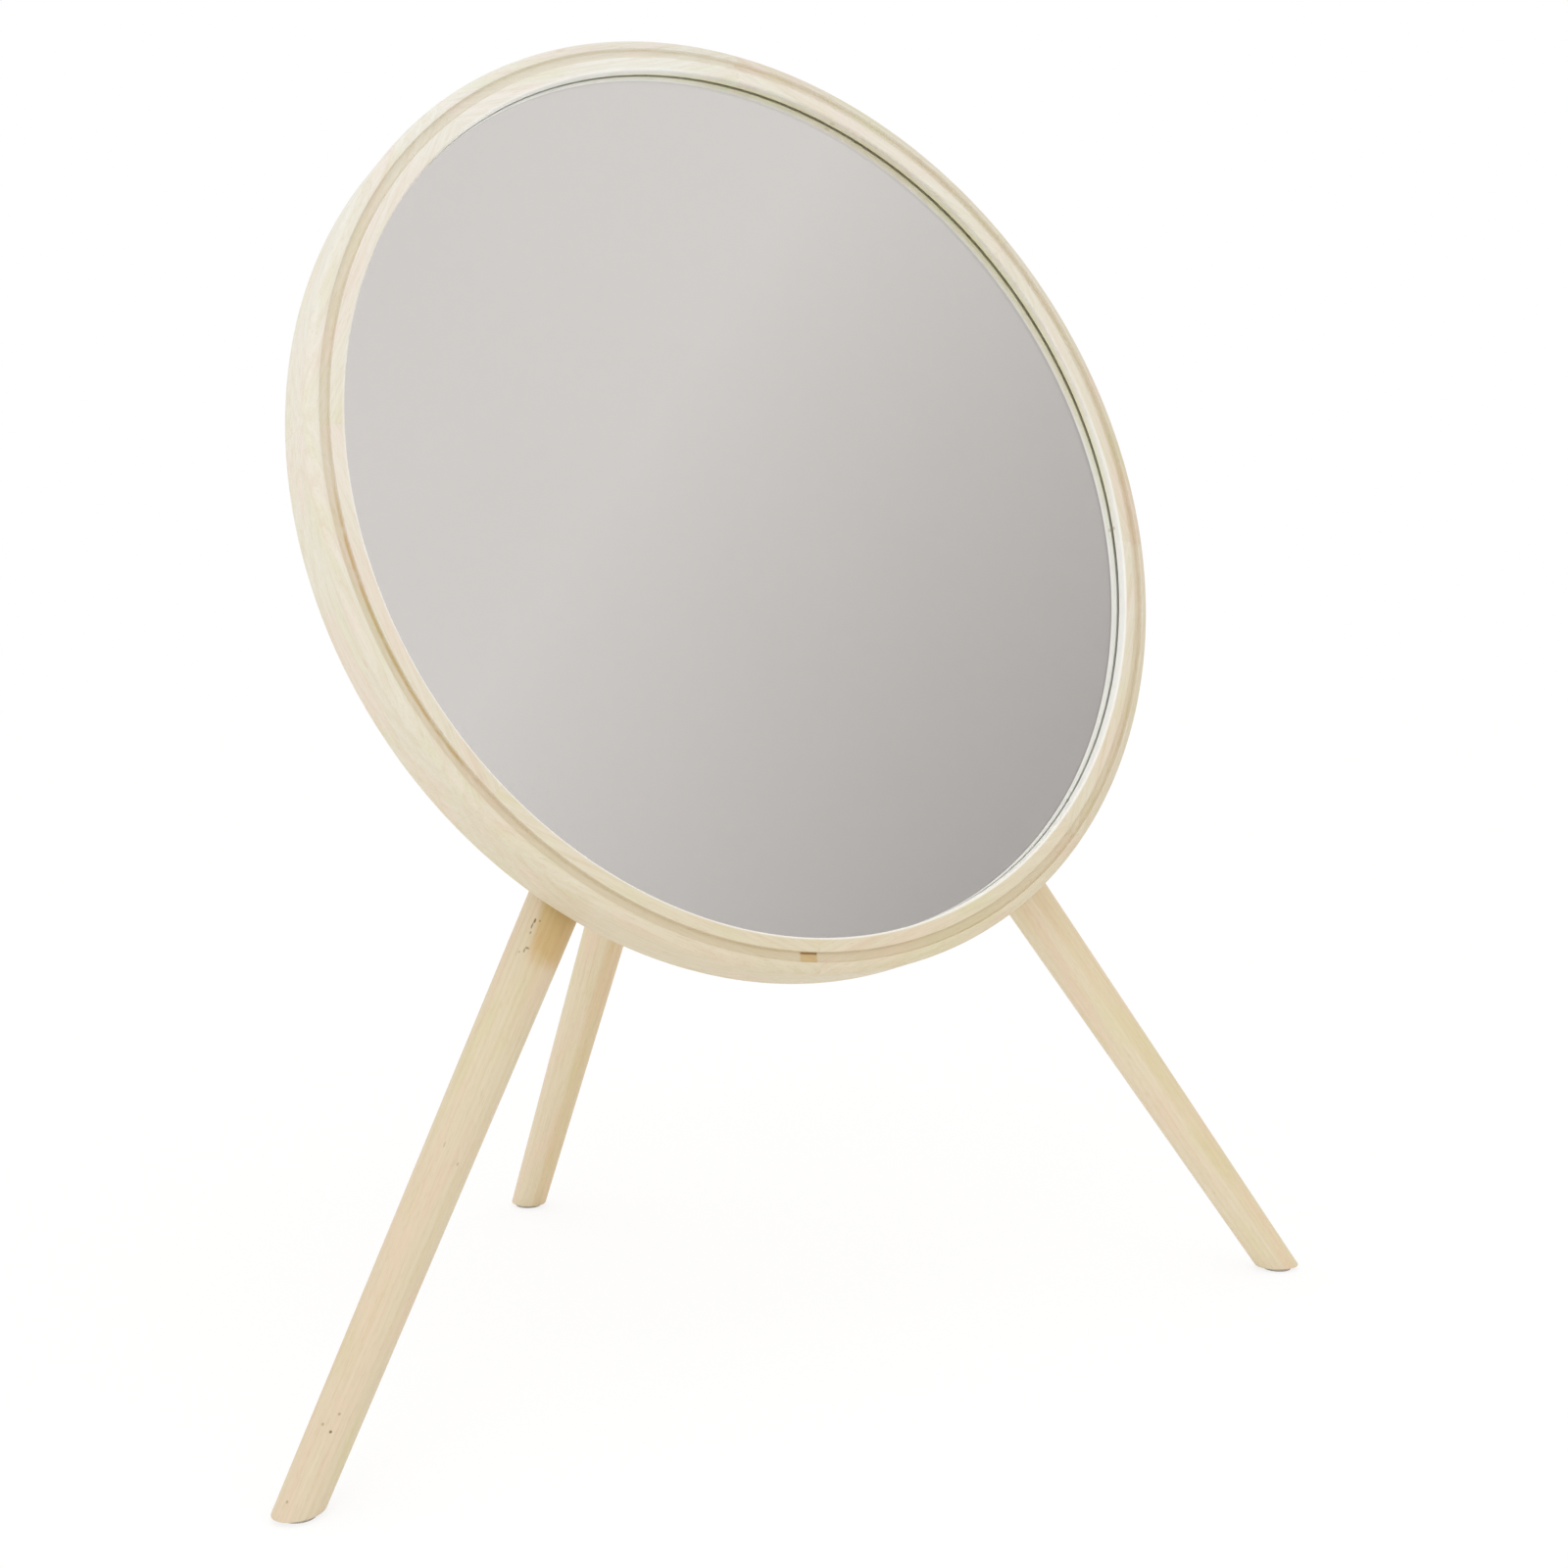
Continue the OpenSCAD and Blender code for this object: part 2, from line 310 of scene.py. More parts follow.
@dataclass(frozen=True)
class Patches:
    """Soft patches of noise: features per metre, finer layers, and the edge's two levels."""

    scale: Union[float, Scale]
    detail: float
    low: float
    high: float
    shift: float = 0.0

    def share(self, graph: Graph, where: Socket) -> Socket:
        """How much of a patch lies at a point."""
        moved = where + self.shift if self.shift else where
        return graph.cloud(moved, self.scale, self.detail).between(self.low, self.high)


@dataclass(frozen=True)
class Finish:
    """A surface that is worked out from the shaded point."""

    def surface(self, graph: Graph) -> dict[str, Input]:
        """Sockets of the surface shader by name."""
        raise NotImplementedError

    def material(self, name: str) -> bpy.types.Material:
        """Makes the material of this finish.

        Args:
            name: name of the material.

        Returns:
            The new material.
        """
        made = bpy.data.materials.new(name)
        made.use_nodes = True
        graph = Graph(made.node_tree)
        shader = graph.node("ShaderNodeBsdfPrincipled", None, self.surface(graph))
        graph.node("ShaderNodeOutputMaterial", None, {"Surface": shader})
        return made


@dataclass(frozen=True)
class Mark:
    """A nick or stain on the wood: an uneven spot, drawn out along one way."""

    place: Vector
    along: Vector
    length: float
    width: float
    colour: Colour
    strength: float = 1.0
    dent: float = 0.0
    ragged_scale: ClassVar[float] = 900.0
    ragged_share: ClassVar[float] = 0.9
    edge: ClassVar[Span] = (0.55, 1.0)

    def reach(self, point: Vector) -> float:
        """How far a point is from the mark's middle.

        Args:
            point: a point near the mark.

        Returns:
            The distance, where 1 is the mark's edge.
        """
        offset = point - self.place
        lengthways = offset.dot(self.along)
        sideways = (offset - self.along * lengthways).length
        return math.hypot(lengthways / self.length, sideways / self.width)

    def cover(self, graph: Graph, point: Socket) -> Socket:
        """How much of the mark shows at the shaded point.

        Args:
            graph: nodes of the material.
            point: the shaded point.

        Returns:
            The mark's share, from 0 to its strength.
        """
        offset = point - self.place
        lengthways = offset.dot(self.along)
        sideways = (offset.dot(offset) - lengthways * lengthways).maximum(0.0) ** 0.5
        near = ((lengthways / self.length) ** 2.0 + (sideways / self.width) ** 2.0) ** 0.5
        ragged = near + (graph.cloud(point, self.ragged_scale, 3.0) - 0.5) * self.ragged_share
        return (1.0 - ragged.between(*self.edge)) * self.strength


@dataclass(frozen=True)
class Grain:
    """How a board lies in its log: its origin, the way of its fibres and a second axis."""

    origin: Vector
    along: Vector
    across: Vector
    seed: float = 0.0
    seed_shift: ClassVar[Scale] = (1.7, 0.013, 0.009)

    def place(self, graph: Graph, point: Socket) -> Socket:
        """The shaded point in the board, x along the fibres.

        Args:
            graph: nodes of the material.
            point: the shaded point.

        Returns:
            The point in the board, moved on by the seed.
        """
        offset = point - self.origin
        third = self.along.cross(self.across)
        board = graph.node("ShaderNodeCombineXYZ", None, {
            "X": offset.dot(self.along), "Y": offset.dot(self.across), "Z": offset.dot(third)})
        return board + tuple(self.seed * shift for shift in self.seed_shift)


@dataclass(frozen=True)
class Wood(Finish):
    """Pale hardwood with growth rings, streaks, fibres and pores, under a matt white oil."""

    grain: Grain
    pale: Colour = rgb(236, 235, 227)
    warm: Colour = rgb(222, 212, 187)
    warmth: float = 0.5
    late_tint: Colour = (0.87, 0.79, 0.66)
    blush_tint: Colour = (1.02, 0.97, 0.985)
    green_tint: Colour = (0.97, 0.99, 0.92)
    pore_tint: Colour = (0.70, 0.60, 0.44)
    ring_gap: float = 6.0 * MM
    ring_share: float = 0.13
    streak_share: float = 0.3
    fibre_share: float = 0.14
    pore_share: float = 0.25
    specular: float = 0.25
    pith: tuple[float, float] = (0.16, 0.12)
    roughness: float = 0.46
    relief_depth: float = 0.04 * MM
    marks: tuple[Mark, ...] = ()
    sway: ClassVar[float] = 14.0 * MM
    sway_scale: ClassVar[Scale] = (2.4, 8.0, 8.0)
    late_rise: ClassVar[Span] = (0.25, 0.9)
    late_fall: ClassVar[Span] = (0.92, 1.0)
    blushes: ClassVar[Patches] = Patches((10.0, 46.0, 46.0), 2.0, 0.46, 0.66, 0.7)
    greens: ClassVar[Patches] = Patches((12.0, 60.0, 60.0), 2.0, 0.5, 0.7, 1.9)
    streaks: ClassVar[Patches] = Patches((5.0, 300.0, 300.0), 2.0, 0.4, 0.72)
    pores: ClassVar[Patches] = Patches((120.0, 2400.0, 2400.0), 0.0, 0.66, 0.76)
    pore_sink: ClassVar[float] = 0.8
    fibre_scale: ClassVar[Scale] = (26.0, 1300.0, 1300.0)
    fibre_edge: ClassVar[Span] = (0.42, 0.75)
    fibre_roughness: ClassVar[float] = 0.16

    def tone_share(self, graph: Graph, point: Socket) -> Input:
        """How much of the warm tone the wood has."""
        return self.warmth

    def growth(self, graph: Graph, board: Socket) -> Socket:
        """Late wood of the growth rings.

        Args:
            graph: nodes of the material.
            board: the point along the grain.

        Returns:
            The share of late wood, from 0 to 1.
        """
        sway = graph.cloud(board, self.sway_scale, 1.0) * self.sway
        from_pith = ((board + (0.0, *self.pith)) * (0.0, 1.0, 1.0)).length() + sway
        return (from_pith / self.ring_gap).fraction().within(self.late_rise, self.late_fall)

    def colour(self, graph: Graph, point: Socket, board: Socket, fibre: Socket) -> Socket:
        """Colour of the plain wood.

        Args:
            graph: nodes of the material.
            point: the shaded point.
            board: the point along the grain.
            fibre: noise along the fibres.

        Returns:
            The wood's colour.
        """
        tone = graph.mix(self.tone_share(graph, point), self.pale, self.warm)
        tints = (
            (self.blushes.share(graph, board), self.blush_tint),
            (self.greens.share(graph, board), self.green_tint),
            (self.growth(graph, board) * self.ring_share, self.late_tint),
            (self.streaks.share(graph, board) * self.streak_share, self.late_tint),
            (fibre.between(*self.fibre_edge) * self.fibre_share, self.pore_tint),
        )
        for share, tint in tints:
            tone = graph.tinted(tone, share, tint)
        return tone

    def shade(self, graph: Graph, point: Socket, colour: Socket) -> Socket:
        """Colour after what a special piece adds to its wood."""
        return colour

    def surface(self, graph: Graph) -> dict[str, Input]:
        """Sockets of the oiled wood.

        Args:
            graph: nodes of the material.

        Returns:
            The shader's inputs by name.
        """
        point = graph.point()
        board = self.grain.place(graph, point)
        fibre = graph.cloud(board, self.fibre_scale, 3.0)
        pores = self.pores.share(graph, board)
        colour = self.colour(graph, point, board, fibre)
        colour = graph.tinted(colour, pores * self.pore_share, self.pore_tint)
        colour = self.shade(graph, point, colour)
        for mark in self.marks:
            colour = graph.mix(mark.cover(graph, point), colour, mark.colour)
        return {
            "Base Color": colour,
            "Roughness": self.roughness + (fibre - 0.5) * self.fibre_roughness,
            "Specular IOR Level": self.specular,
            "Normal": graph.relief(fibre - pores * self.pore_sink, self.relief_depth),
        }


@dataclass(frozen=True)
class HeadFrame:
    """Axes of the leaning ring: right and up in its front plane, out to the viewer."""

    centre: Vector
    right: Vector
    up: Vector
    out: Vector

    @classmethod
    def of_glass(cls, inset: float) -> "HeadFrame":
        """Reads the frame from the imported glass.

        Args:
            inset: depth of the glass behind the ring's front.

        Returns:
            The frame, with its centre in the ring's front plane.
        """
        mesh = frame["nodes"]["mirror_glass"].data
        out = max(mesh.polygons, key=lambda face: face.area).normal.copy()
        out = -out if out.y > 0 else out
        low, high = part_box("mirror_glass")
        middle = (low + high) / 2
        front = max((vertex.co - middle).dot(out) for vertex in mesh.vertices)
        right = Vector((1.0, 0.0, 0.0))
        return cls(middle + out * (front + inset), right, out.cross(right), out)

    def radial(self, clock: float) -> Vector:
        """Way outwards at a clockwise angle from the top."""
        return self.right * math.sin(clock) + self.up * math.cos(clock)

    def tangent(self, clock: float) -> Vector:
        """Way clockwise round the ring at a clockwise angle from the top."""
        return self.radial(clock).cross(self.out)

    def place(self, radius: float, clock: float, depth: float) -> Vector:
        """A point of the ring.

        Args:
            radius: distance from the mirror's axis.
            clock: clockwise angle from the top, in radians.
            depth: depth behind the ring's front.

        Returns:
            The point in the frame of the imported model.
        """
        return self.centre + self.radial(clock) * radius - self.out * depth


@dataclass(frozen=True)
class RingPoint:
    """A shaded point on the ring: from its centre, behind its front and off its axis."""

    point: Socket
    offset: Socket
    depth: Socket
    radius: Socket

    def towards(self, head: HeadFrame, clock: float) -> Socket:
        """How far the point lies from the centre towards a clockwise angle from the top."""
        return self.offset.dot(head.radial(clock))


@dataclass(frozen=True, kw_only=True)
class RingWood(Wood):
    """Wood of one ring segment: painted light makes it paler towards the upper left, with painted
    shade and highlight in its groove, sight wall and lip, and glue left in its groove.
    """

    head: HeadFrame
    joint: float
    sight: float
    groove_middle: float
    groove_half: float
    glue_run: Optional[Span] = None
    end_stain: float = 0.0
    # painted light: the clock angle towards which the ring's tone is painted paler, and how
    # strongly
    painted_light_clock: float = math.radians(-12)
    painted_light_swing: float = 0.47
    turning_share: float = 0.14
    turning_lines: ClassVar[Patches] = Patches(700.0, 2.0, 0.4, 0.7)

    groove_soft: float = 0.4 * MM
    groove_top: Span = (1.0 * MM, 4.0 * MM)
    groove_bottom: Span = (6.0 * MM, 7.0 * MM)
    # painted light: a lighter, warmer tone on the groove's floor, for light bounced inside the
    # groove
    groove_light_share: float = 0.2
    groove_light_tone: Colour = rgb(244, 230, 205)
    # painted shade: a darker tint in the groove's corners
    corner_shade_share: float = 0.15
    corner_reach: Span = (1.9 * MM, 0.4 * MM)
    corner_shade_tint: Colour = (0.86, 0.76, 0.58)
    inner_half: Span = (-1.0 * MM, 1.0 * MM)
    glue_fade: Span = (30.0 * MM, 40.0 * MM)
    glue_patches: ClassVar[Patches] = Patches(50.0, 2.0, 0.3, 0.5)
    glue_tint: Colour = (0.90, 0.80, 0.60)
    stain_edge: Span = (17.0 * MM, 20.0 * MM)
    stain_scale: float = 300.0
    stain_ragged: float = 6.0 * MM
    stain_tint: Colour = (0.95, 0.81, 0.60)
    burn_tint: Colour = (0.50, 0.40, 0.27)

    wall_edge: Span = (0.6 * MM, 2.4 * MM)
    # painted highlight: a near-white tone on the sight wall, low down and at the upper left
    wall_highlight_share: float = 0.85
    wall_highlight_tone: Colour = rgb(248, 247, 242)
    low_highlight_edge: Span = (-0.08, 0.32)
    high_highlight_clock: float = math.radians(-20)
    high_highlight_edge: Span = (0.335, 0.36)
    # painted shade: a warm yellow tint deep in the sight wall towards the upper right, for shade
    # lit by light bounced off the wood
    deep_shade_side: float = math.radians(40)
    deep_shade_edge: Span = (0.16, 0.30)
    deep_shade_depth: Span = (2.5 * MM, 8.5 * MM)
    deep_shade_until: Span = (379.5 * MM, 381.0 * MM)
    deep_shade_tint: Colour = (1.0, 0.975, 0.76)
    lip_start: Span = (390.5 * MM, 391.5 * MM)
    lip_depth: Span = (2.0 * MM, 6.0 * MM)
    # painted shade: the outer lip darker on the side towards the upper right
    lip_shade_side: float = math.radians(60)
    lip_shade_edge: Span = (-0.08, 0.19)
    lip_shade_tint: Colour = (0.915, 0.895, 0.86)

    def tone_share(self, graph: Graph, point: Socket) -> Input:
        """How much of the warm tone the wood has: each segment's tone, paler towards the upper left
        as painted light.

        Args:
            graph: nodes of the material; not used.
            point: the shaded point.

        Returns:
            The share, which changes slowly round the ring as painted light.
        """
        # painted light: paler towards the upper left, as if lit more from there, on top of each
        # segment's tone
        towards = (point - self.head.centre).dot(self.head.radial(self.painted_light_clock))
        return 0.5 + self.warmth - towards * (self.painted_light_swing / self.groove_middle)

    def groove_marks(self, graph: Graph, spot: RingPoint, colour: Socket) -> Socket:
        """Colour with painted shade in the groove's corners, painted light on the groove's floor,
        its run of glue and the stain at a glue joint.

        Args:
            graph: nodes of the material.
            spot: the shaded point, on the ring.
            colour: colour before these marks.

        Returns:
            The colour with them.
        """
        half = self.groove_half
        off_middle = spot.radius - self.groove_middle
        inside = 1.0 - abs(off_middle).between(half, half + self.groove_soft)
        sunk = inside * spot.depth.within(self.groove_top, self.groove_bottom)
        corner = sunk * abs(off_middle).between(*(half - reach for reach in self.corner_reach))
        inner = corner * (1.0 - off_middle.between(*self.inner_half))
        # painted light on the groove's floor
        colour = graph.mix(sunk * self.groove_light_share, colour, self.groove_light_tone)
        # painted shade in the groove's corners, where the groove's walls shade them
        colour = graph.tinted(colour, corner * self.corner_shade_share, self.corner_shade_tint)
        if self.glue_run:
            start, end = self.glue_run
            begin_fade, end_fade = self.glue_fade
            along = spot.offset.dot(self.grain.along)
            run = along.within((start, start + begin_fade), (end - end_fade, end))
            patchy = self.glue_patches.share(graph, spot.point)
            colour = graph.tinted(colour, inner * run * patchy, self.glue_tint)
        if self.end_stain:
            from_joint = spot.offset.dot(self.head.tangent(self.joint))
            ragged = from_joint + graph.cloud(spot.point, self.stain_scale) * self.stain_ragged
            near = sunk * (1.0 - ragged.between(*self.stain_edge)) * self.end_stain
            colour = graph.tinted(colour, near, self.stain_tint)
            colour = graph.tinted(colour, near * inner, self.burn_tint)
        return colour

    def wall_marks(self, graph: Graph, spot: RingPoint, colour: Socket) -> Socket:
        """Colour with a painted highlight on the sight wall, low down and at the upper left, and
        painted warm shade deep in the wall towards the upper right.

        Args:
            graph: nodes of the material.
            spot: the shaded point, on the ring.
            colour: colour before these marks.

        Returns:
            The colour with them.
        """
        # painted highlight on the sight wall, low down and towards the upper left
        wall = 1.0 - (spot.radius - self.sight).between(*self.wall_edge)
        low = 1.0 - spot.offset.dot(self.head.up).between(*self.low_highlight_edge)
        high = spot.towards(self.head, self.high_highlight_clock).between(*self.high_highlight_edge)
        colour = graph.mix(wall * low.maximum(high) * self.wall_highlight_share, colour, self.wall_highlight_tone)
        # painted shade deep in the sight wall, warm from light bounced off the wood
        deep_shade = spot.depth.between(*self.deep_shade_depth)
        deep_shade = deep_shade * (1.0 - spot.radius.between(*self.deep_shade_until))
        deep_shade = deep_shade * spot.towards(self.head, self.deep_shade_side).between(*self.deep_shade_edge)
        return graph.tinted(colour, deep_shade, self.deep_shade_tint)

    def shade(self, graph: Graph, point: Socket, colour: Socket) -> Socket:
        """Colour with the marks of turning and gluing, and with painted highlight and shade.

        Args:
            graph: nodes of the material.
            point: the shaded point.
            colour: colour of the plain wood.

        Returns:
            The shaded colour.
        """
        offset = point - self.head.centre
        depth = offset.dot(self.head.out) * -1.0
        spot = RingPoint(point, offset, depth, (offset.dot(offset) - depth * depth) ** 0.5)
        turned = graph.node("ShaderNodeCombineXYZ", None, {"X": spot.radius, "Y": spot.depth})
        lines = self.turning_lines.share(graph, turned)
        colour = graph.tinted(colour, lines * self.turning_share, self.late_tint)
        colour = self.wall_marks(graph, spot, colour)
        colour = self.groove_marks(graph, spot, colour)
        lip = spot.radius.between(*self.lip_start) * (1.0 - spot.depth.between(*self.lip_depth))
        # painted shade: the lip darker towards the upper right
        lip_shade = lip * spot.towards(self.head, self.lip_shade_side).between(*self.lip_shade_edge)
        return graph.tinted(colour, lip_shade, self.lip_shade_tint)


@dataclass(frozen=True)
class ShadeFlank:
    """Painted shade: a warmer, darker side of a leg, away from the light and down to a set
    distance.
    """

    share: float
    start: float
    until: float
    slope: float = 0.0
    way: Vector = Vector((0.825, -0.564, 0.0))
    soft: float = 0.35
    fade: float = 12.0 * MM
    ragged_scale: float = 60.0
    ragged: float = 20.0 * MM
    tint: Colour = (0.89, 0.78, 0.55)


@dataclass(frozen=True, kw_only=True)
class LegWood(Wood):
    """Wood of a leg, with painted shade on one side."""

    shade_flank: ShadeFlank

    def shade(self, graph: Graph, point: Socket, colour: Socket) -> Socket:
        """Colour with painted shade, warmer and darker, on one side.

        Args:
            graph: nodes of the material.
            point: the shaded point.
            colour: colour of the oiled wood.

        Returns:
            The shaded colour.
        """
        # painted shade on the side away from the light, above a set distance from the hub
        shade_flank = self.shade_flank
        down = (point - self.grain.origin).dot(self.grain.along)
        turned = graph.normal().dot(shade_flank.way) + (shade_flank.until - down) * shade_flank.slope
        sideways = turned.between(shade_flank.start, shade_flank.start + shade_flank.soft)
        ragged = down + (graph.cloud(point, shade_flank.ragged_scale) - 0.5) * shade_flank.ragged
        above = 1.0 - ragged.between(shade_flank.until - shade_flank.fade, shade_flank.until + shade_flank.fade)
        return graph.tinted(colour, sideways * above * shade_flank.share, shade_flank.tint)


@dataclass(frozen=True, kw_only=True)
class Plywood(Wood):
    """Birch plywood: a rotary-cut face, and glued layers where its edge shows."""

    out: Vector
    layer: float = 1.33 * MM
    layer_share: float = 0.8
    figure_turns: float = 11.0
    flame_scale: ClassVar[Scale] = (1.1, 6.0, 6.0)
    late_rise: ClassVar[Span] = (0.2, 0.9)
    late_fall: ClassVar[Span] = (0.9, 1.0)
    dark_rise: ClassVar[Span] = (0.46, 0.54)
    dark_fall: ClassVar[Span] = (0.96, 1.0)
    face_edge: ClassVar[Span] = (0.5, 0.8)

    def growth(self, graph: Graph, board: Socket) -> Socket:
        """Late wood of a rotary-cut veneer, in broad uneven flames.

        Args:
            graph: nodes of the material.
            board: the point along the grain.

        Returns:
            The share of late wood, from 0 to 1.
        """
        flame = (graph.cloud(board, self.flame_scale, 1.0) * self.figure_turns).fraction()
        return flame.within(self.late_rise, self.late_fall)

    def shade(self, graph: Graph, point: Socket, colour: Socket) -> Socket:
        """Colour with the layers of the edge.

        Args:
            graph: nodes of the material.
            point: the shaded point.
            colour: colour of the face.

        Returns:
            The colour on face or edge.
        """
        edge = 1.0 - abs(graph.normal().dot(self.out)).between(*self.face_edge)
        depth = (point - self.grain.origin).dot(self.out)
        turn = (depth / (2.0 * self.layer)).fraction()
        dark = turn.within(self.dark_rise, self.dark_fall) * self.layer_share
        return graph.tinted(colour, edge * (dark + (1.0 - self.layer_share)), self.pore_tint)


@dataclass(frozen=True)
class Metal(Finish):
    """Plated or bare steel with fine draw marks."""

    tone: Colour = rgb(205, 207, 210)
    stained: Colour = rgb(168, 168, 166)
    roughness: float = 0.3
    scratch_scale: ClassVar[Scale] = (900.0, 5200.0, 900.0)
    scratch_roughness: ClassVar[float] = 0.2
    scratch_depth: ClassVar[float] = 0.01 * MM
    clouds: ClassVar[Patches] = Patches(160.0, 3.0, 0.4, 0.7)

    def surface(self, graph: Graph) -> dict[str, Input]:
        """Sockets of the metal.

        Args:
            graph: nodes of the material.

        Returns:
            The shader's inputs by name.
        """
        point = graph.point()
        scratch = graph.cloud(point, self.scratch_scale, 3.0)
        return {
            "Base Color": graph.mix(self.clouds.share(graph, point), self.tone, self.stained),
            "Metallic": 1.0,
            "Roughness": self.roughness + (scratch - 0.5) * self.scratch_roughness,
            "Normal": graph.relief(scratch, self.scratch_depth),
        }


@dataclass(frozen=True)
class Clear(Finish):
    """Float glass, clear to look through and green deep in at its edge."""

    head: HeadFrame
    radius: float
    green_width: float = 2.0 * MM
    clear: Colour = (0.985, 0.99, 0.986)
    green: Colour = (0.62, 0.8, 0.7)

    def surface(self, graph: Graph) -> dict[str, Input]:
        """Sockets of the glass.

        Args:
            graph: nodes of the material.

        Returns:
            The shader's inputs by name.
        """
        offset = graph.point() - self.head.centre
        from_axis = (offset.dot(offset) - offset.dot(self.head.out) ** 2.0) ** 0.5
        rim = from_axis.between(self.radius - self.green_width, self.radius)
        return {
            "Base Color": graph.mix(rim, self.clear, self.green),
            "Roughness": 0.0,
            "IOR": 1.52,
            "Transmission Weight": 1.0,
        }


@dataclass(frozen=True)
class Silver(Finish):
    """The silver behind the glass, faintly uneven."""

    bright: Colour = (0.95, 0.95, 0.94)
    dull: Colour = (0.935, 0.94, 0.93)
    clouds: ClassVar[Patches] = Patches(3.0, 1.0, 0.3, 0.7)

    def surface(self, graph: Graph) -> dict[str, Input]:
        """Sockets of the silver.

        Args:
            graph: nodes of the material.

        Returns:
            The shader's inputs by name.
        """
        cloudy = self.clouds.share(graph, graph.point())
        return {
            "Base Color": graph.mix(cloudy, self.bright, self.dull),
            "Metallic": 1.0,
            "Roughness": 0.0,
        }


@dataclass(frozen=True)
class Speckled(Finish):
    """A dull surface of two tones in fine grains, such as paint, cork, foam or felt."""

    first: Colour
    second: Colour
    grain: Input = 400.0
    roughness: float = 0.8
    relief_depth: float = 0.1 * MM
    sheen: float = 0.0
    speck_edge: ClassVar[Span] = (0.35, 0.65)
    speck_roughness: ClassVar[float] = 0.2
    broad_scale: ClassVar[float] = 60.0
    broad_share: ClassVar[float] = 0.2

    def surface(self, graph: Graph) -> dict[str, Input]:
        """Sockets of the speckled surface.

        Args:
            graph: nodes of the material.

        Returns:
            The shader's inputs by name.
        """
        point = graph.point()
        speck = graph.cloud(point, self.grain, 4.0)
        broad = graph.cloud(point, self.broad_scale, 2.0) * self.broad_share
        share = speck.between(*self.speck_edge) * (1.0 - self.broad_share) + broad
        return {
            "Base Color": graph.mix(share, self.first, self.second),
            "Roughness": self.roughness + (speck - 0.5) * self.speck_roughness,
            "Sheen Weight": self.sheen,
            "Normal": graph.relief(speck, self.relief_depth),
        }


def new_piece(name: str, points: Sequence[Vector], faces: Sequence[Face],
              materials: Sequence[bpy.types.Material]) -> bpy.types.Object:
    """Makes a mesh object with smooth faces and sharp corners.

    Args:
        name: name of the piece.
        points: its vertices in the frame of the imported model.
        faces: vertex numbers of each face, turned outwards.
        materials: its materials.

    Returns:
        The new object.
    """
    mesh = bpy.data.meshes.new(name)
    mesh.from_pydata([tuple(point) for point in points], [], faces)
    mesh.polygons.foreach_set("use_smooth", [True] * len(mesh.polygons))
    mesh.set_sharp_from_angle(angle=SHARP_EDGE)
    for material in materials:
        mesh.materials.append(material)
    mesh.validate()
    piece = bpy.data.objects.new(name, mesh)
    bpy.context.scene.collection.objects.link(piece)
    return piece


def settle(piece: bpy.types.Object, slot: str, *nodes: str) -> None:
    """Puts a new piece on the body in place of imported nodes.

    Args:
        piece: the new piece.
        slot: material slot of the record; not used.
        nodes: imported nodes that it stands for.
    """
    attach(piece, BODY)
    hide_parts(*nodes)
    log.info("%s: %d faces, for %s", piece.name, len(piece.data.polygons), ", ".join(nodes))


def dress(node: str, finish: Finish) -> None:
    """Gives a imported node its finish.

    Args:
        node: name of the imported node.
        finish: its finish.
    """
    mesh = frame["nodes"][node].data
    mesh.materials.clear()
    mesh.materials.append(finish.material(node))
    log.info("%s: %s", node, type(finish).__name__)


def arc(centre: tuple[float, float], radius: float, start: float, end: float,
        steps: int) -> Outline:
    """Points of an arc in a section.

    Args:
        centre: its centre as radius and depth.
        radius: its radius.
        start: first angle in degrees, from outwards towards the back.
        end: last angle in degrees.
        steps: number of chords.

    Returns:
        The points as radius and depth.
    """
    points = []
    for step in range(steps + 1):
        turn = math.radians(start + (end - start) * step / steps)
        points.append((centre[0] + radius * math.cos(turn), centre[1] + radius * math.sin(turn)))
    return points


def strip(first: int, second: int, count: int) -> list[Face]:
    """Faces between two closed rows of vertices.

    Args:
        first: first vertex of the first row.
        second: first vertex of the second row.
        count: vertices in a row.

    Returns:
        One four-sided face for each vertex of a row.
    """
    return [(first + k, first + (k + 1) % count, second + (k + 1) % count, second + k)
            for k in range(count)]


def skin(rows: int, count: int) -> list[Face]:
    """Faces over stacked closed rows of vertices, with a cap at each end.

    Args:
        rows: number of rows.
        count: vertices in a row.

    Returns:
        The faces, the cap of the last row at the end.
    """
    last = (rows - 1) * count
    faces: list[Face] = []
    for first in range(0, last, count):
        faces += strip(first, first + count, count)
    return faces + [list(range(count))[::-1], list(range(last, last + count))]


@dataclass(frozen=True)
class RingSpot:
    """A small stain on the ring: clock angle in degrees, lengths in millimetres."""

    clock: float
    radius: float
    depth: float
    length: float
    width: float
    strength: float


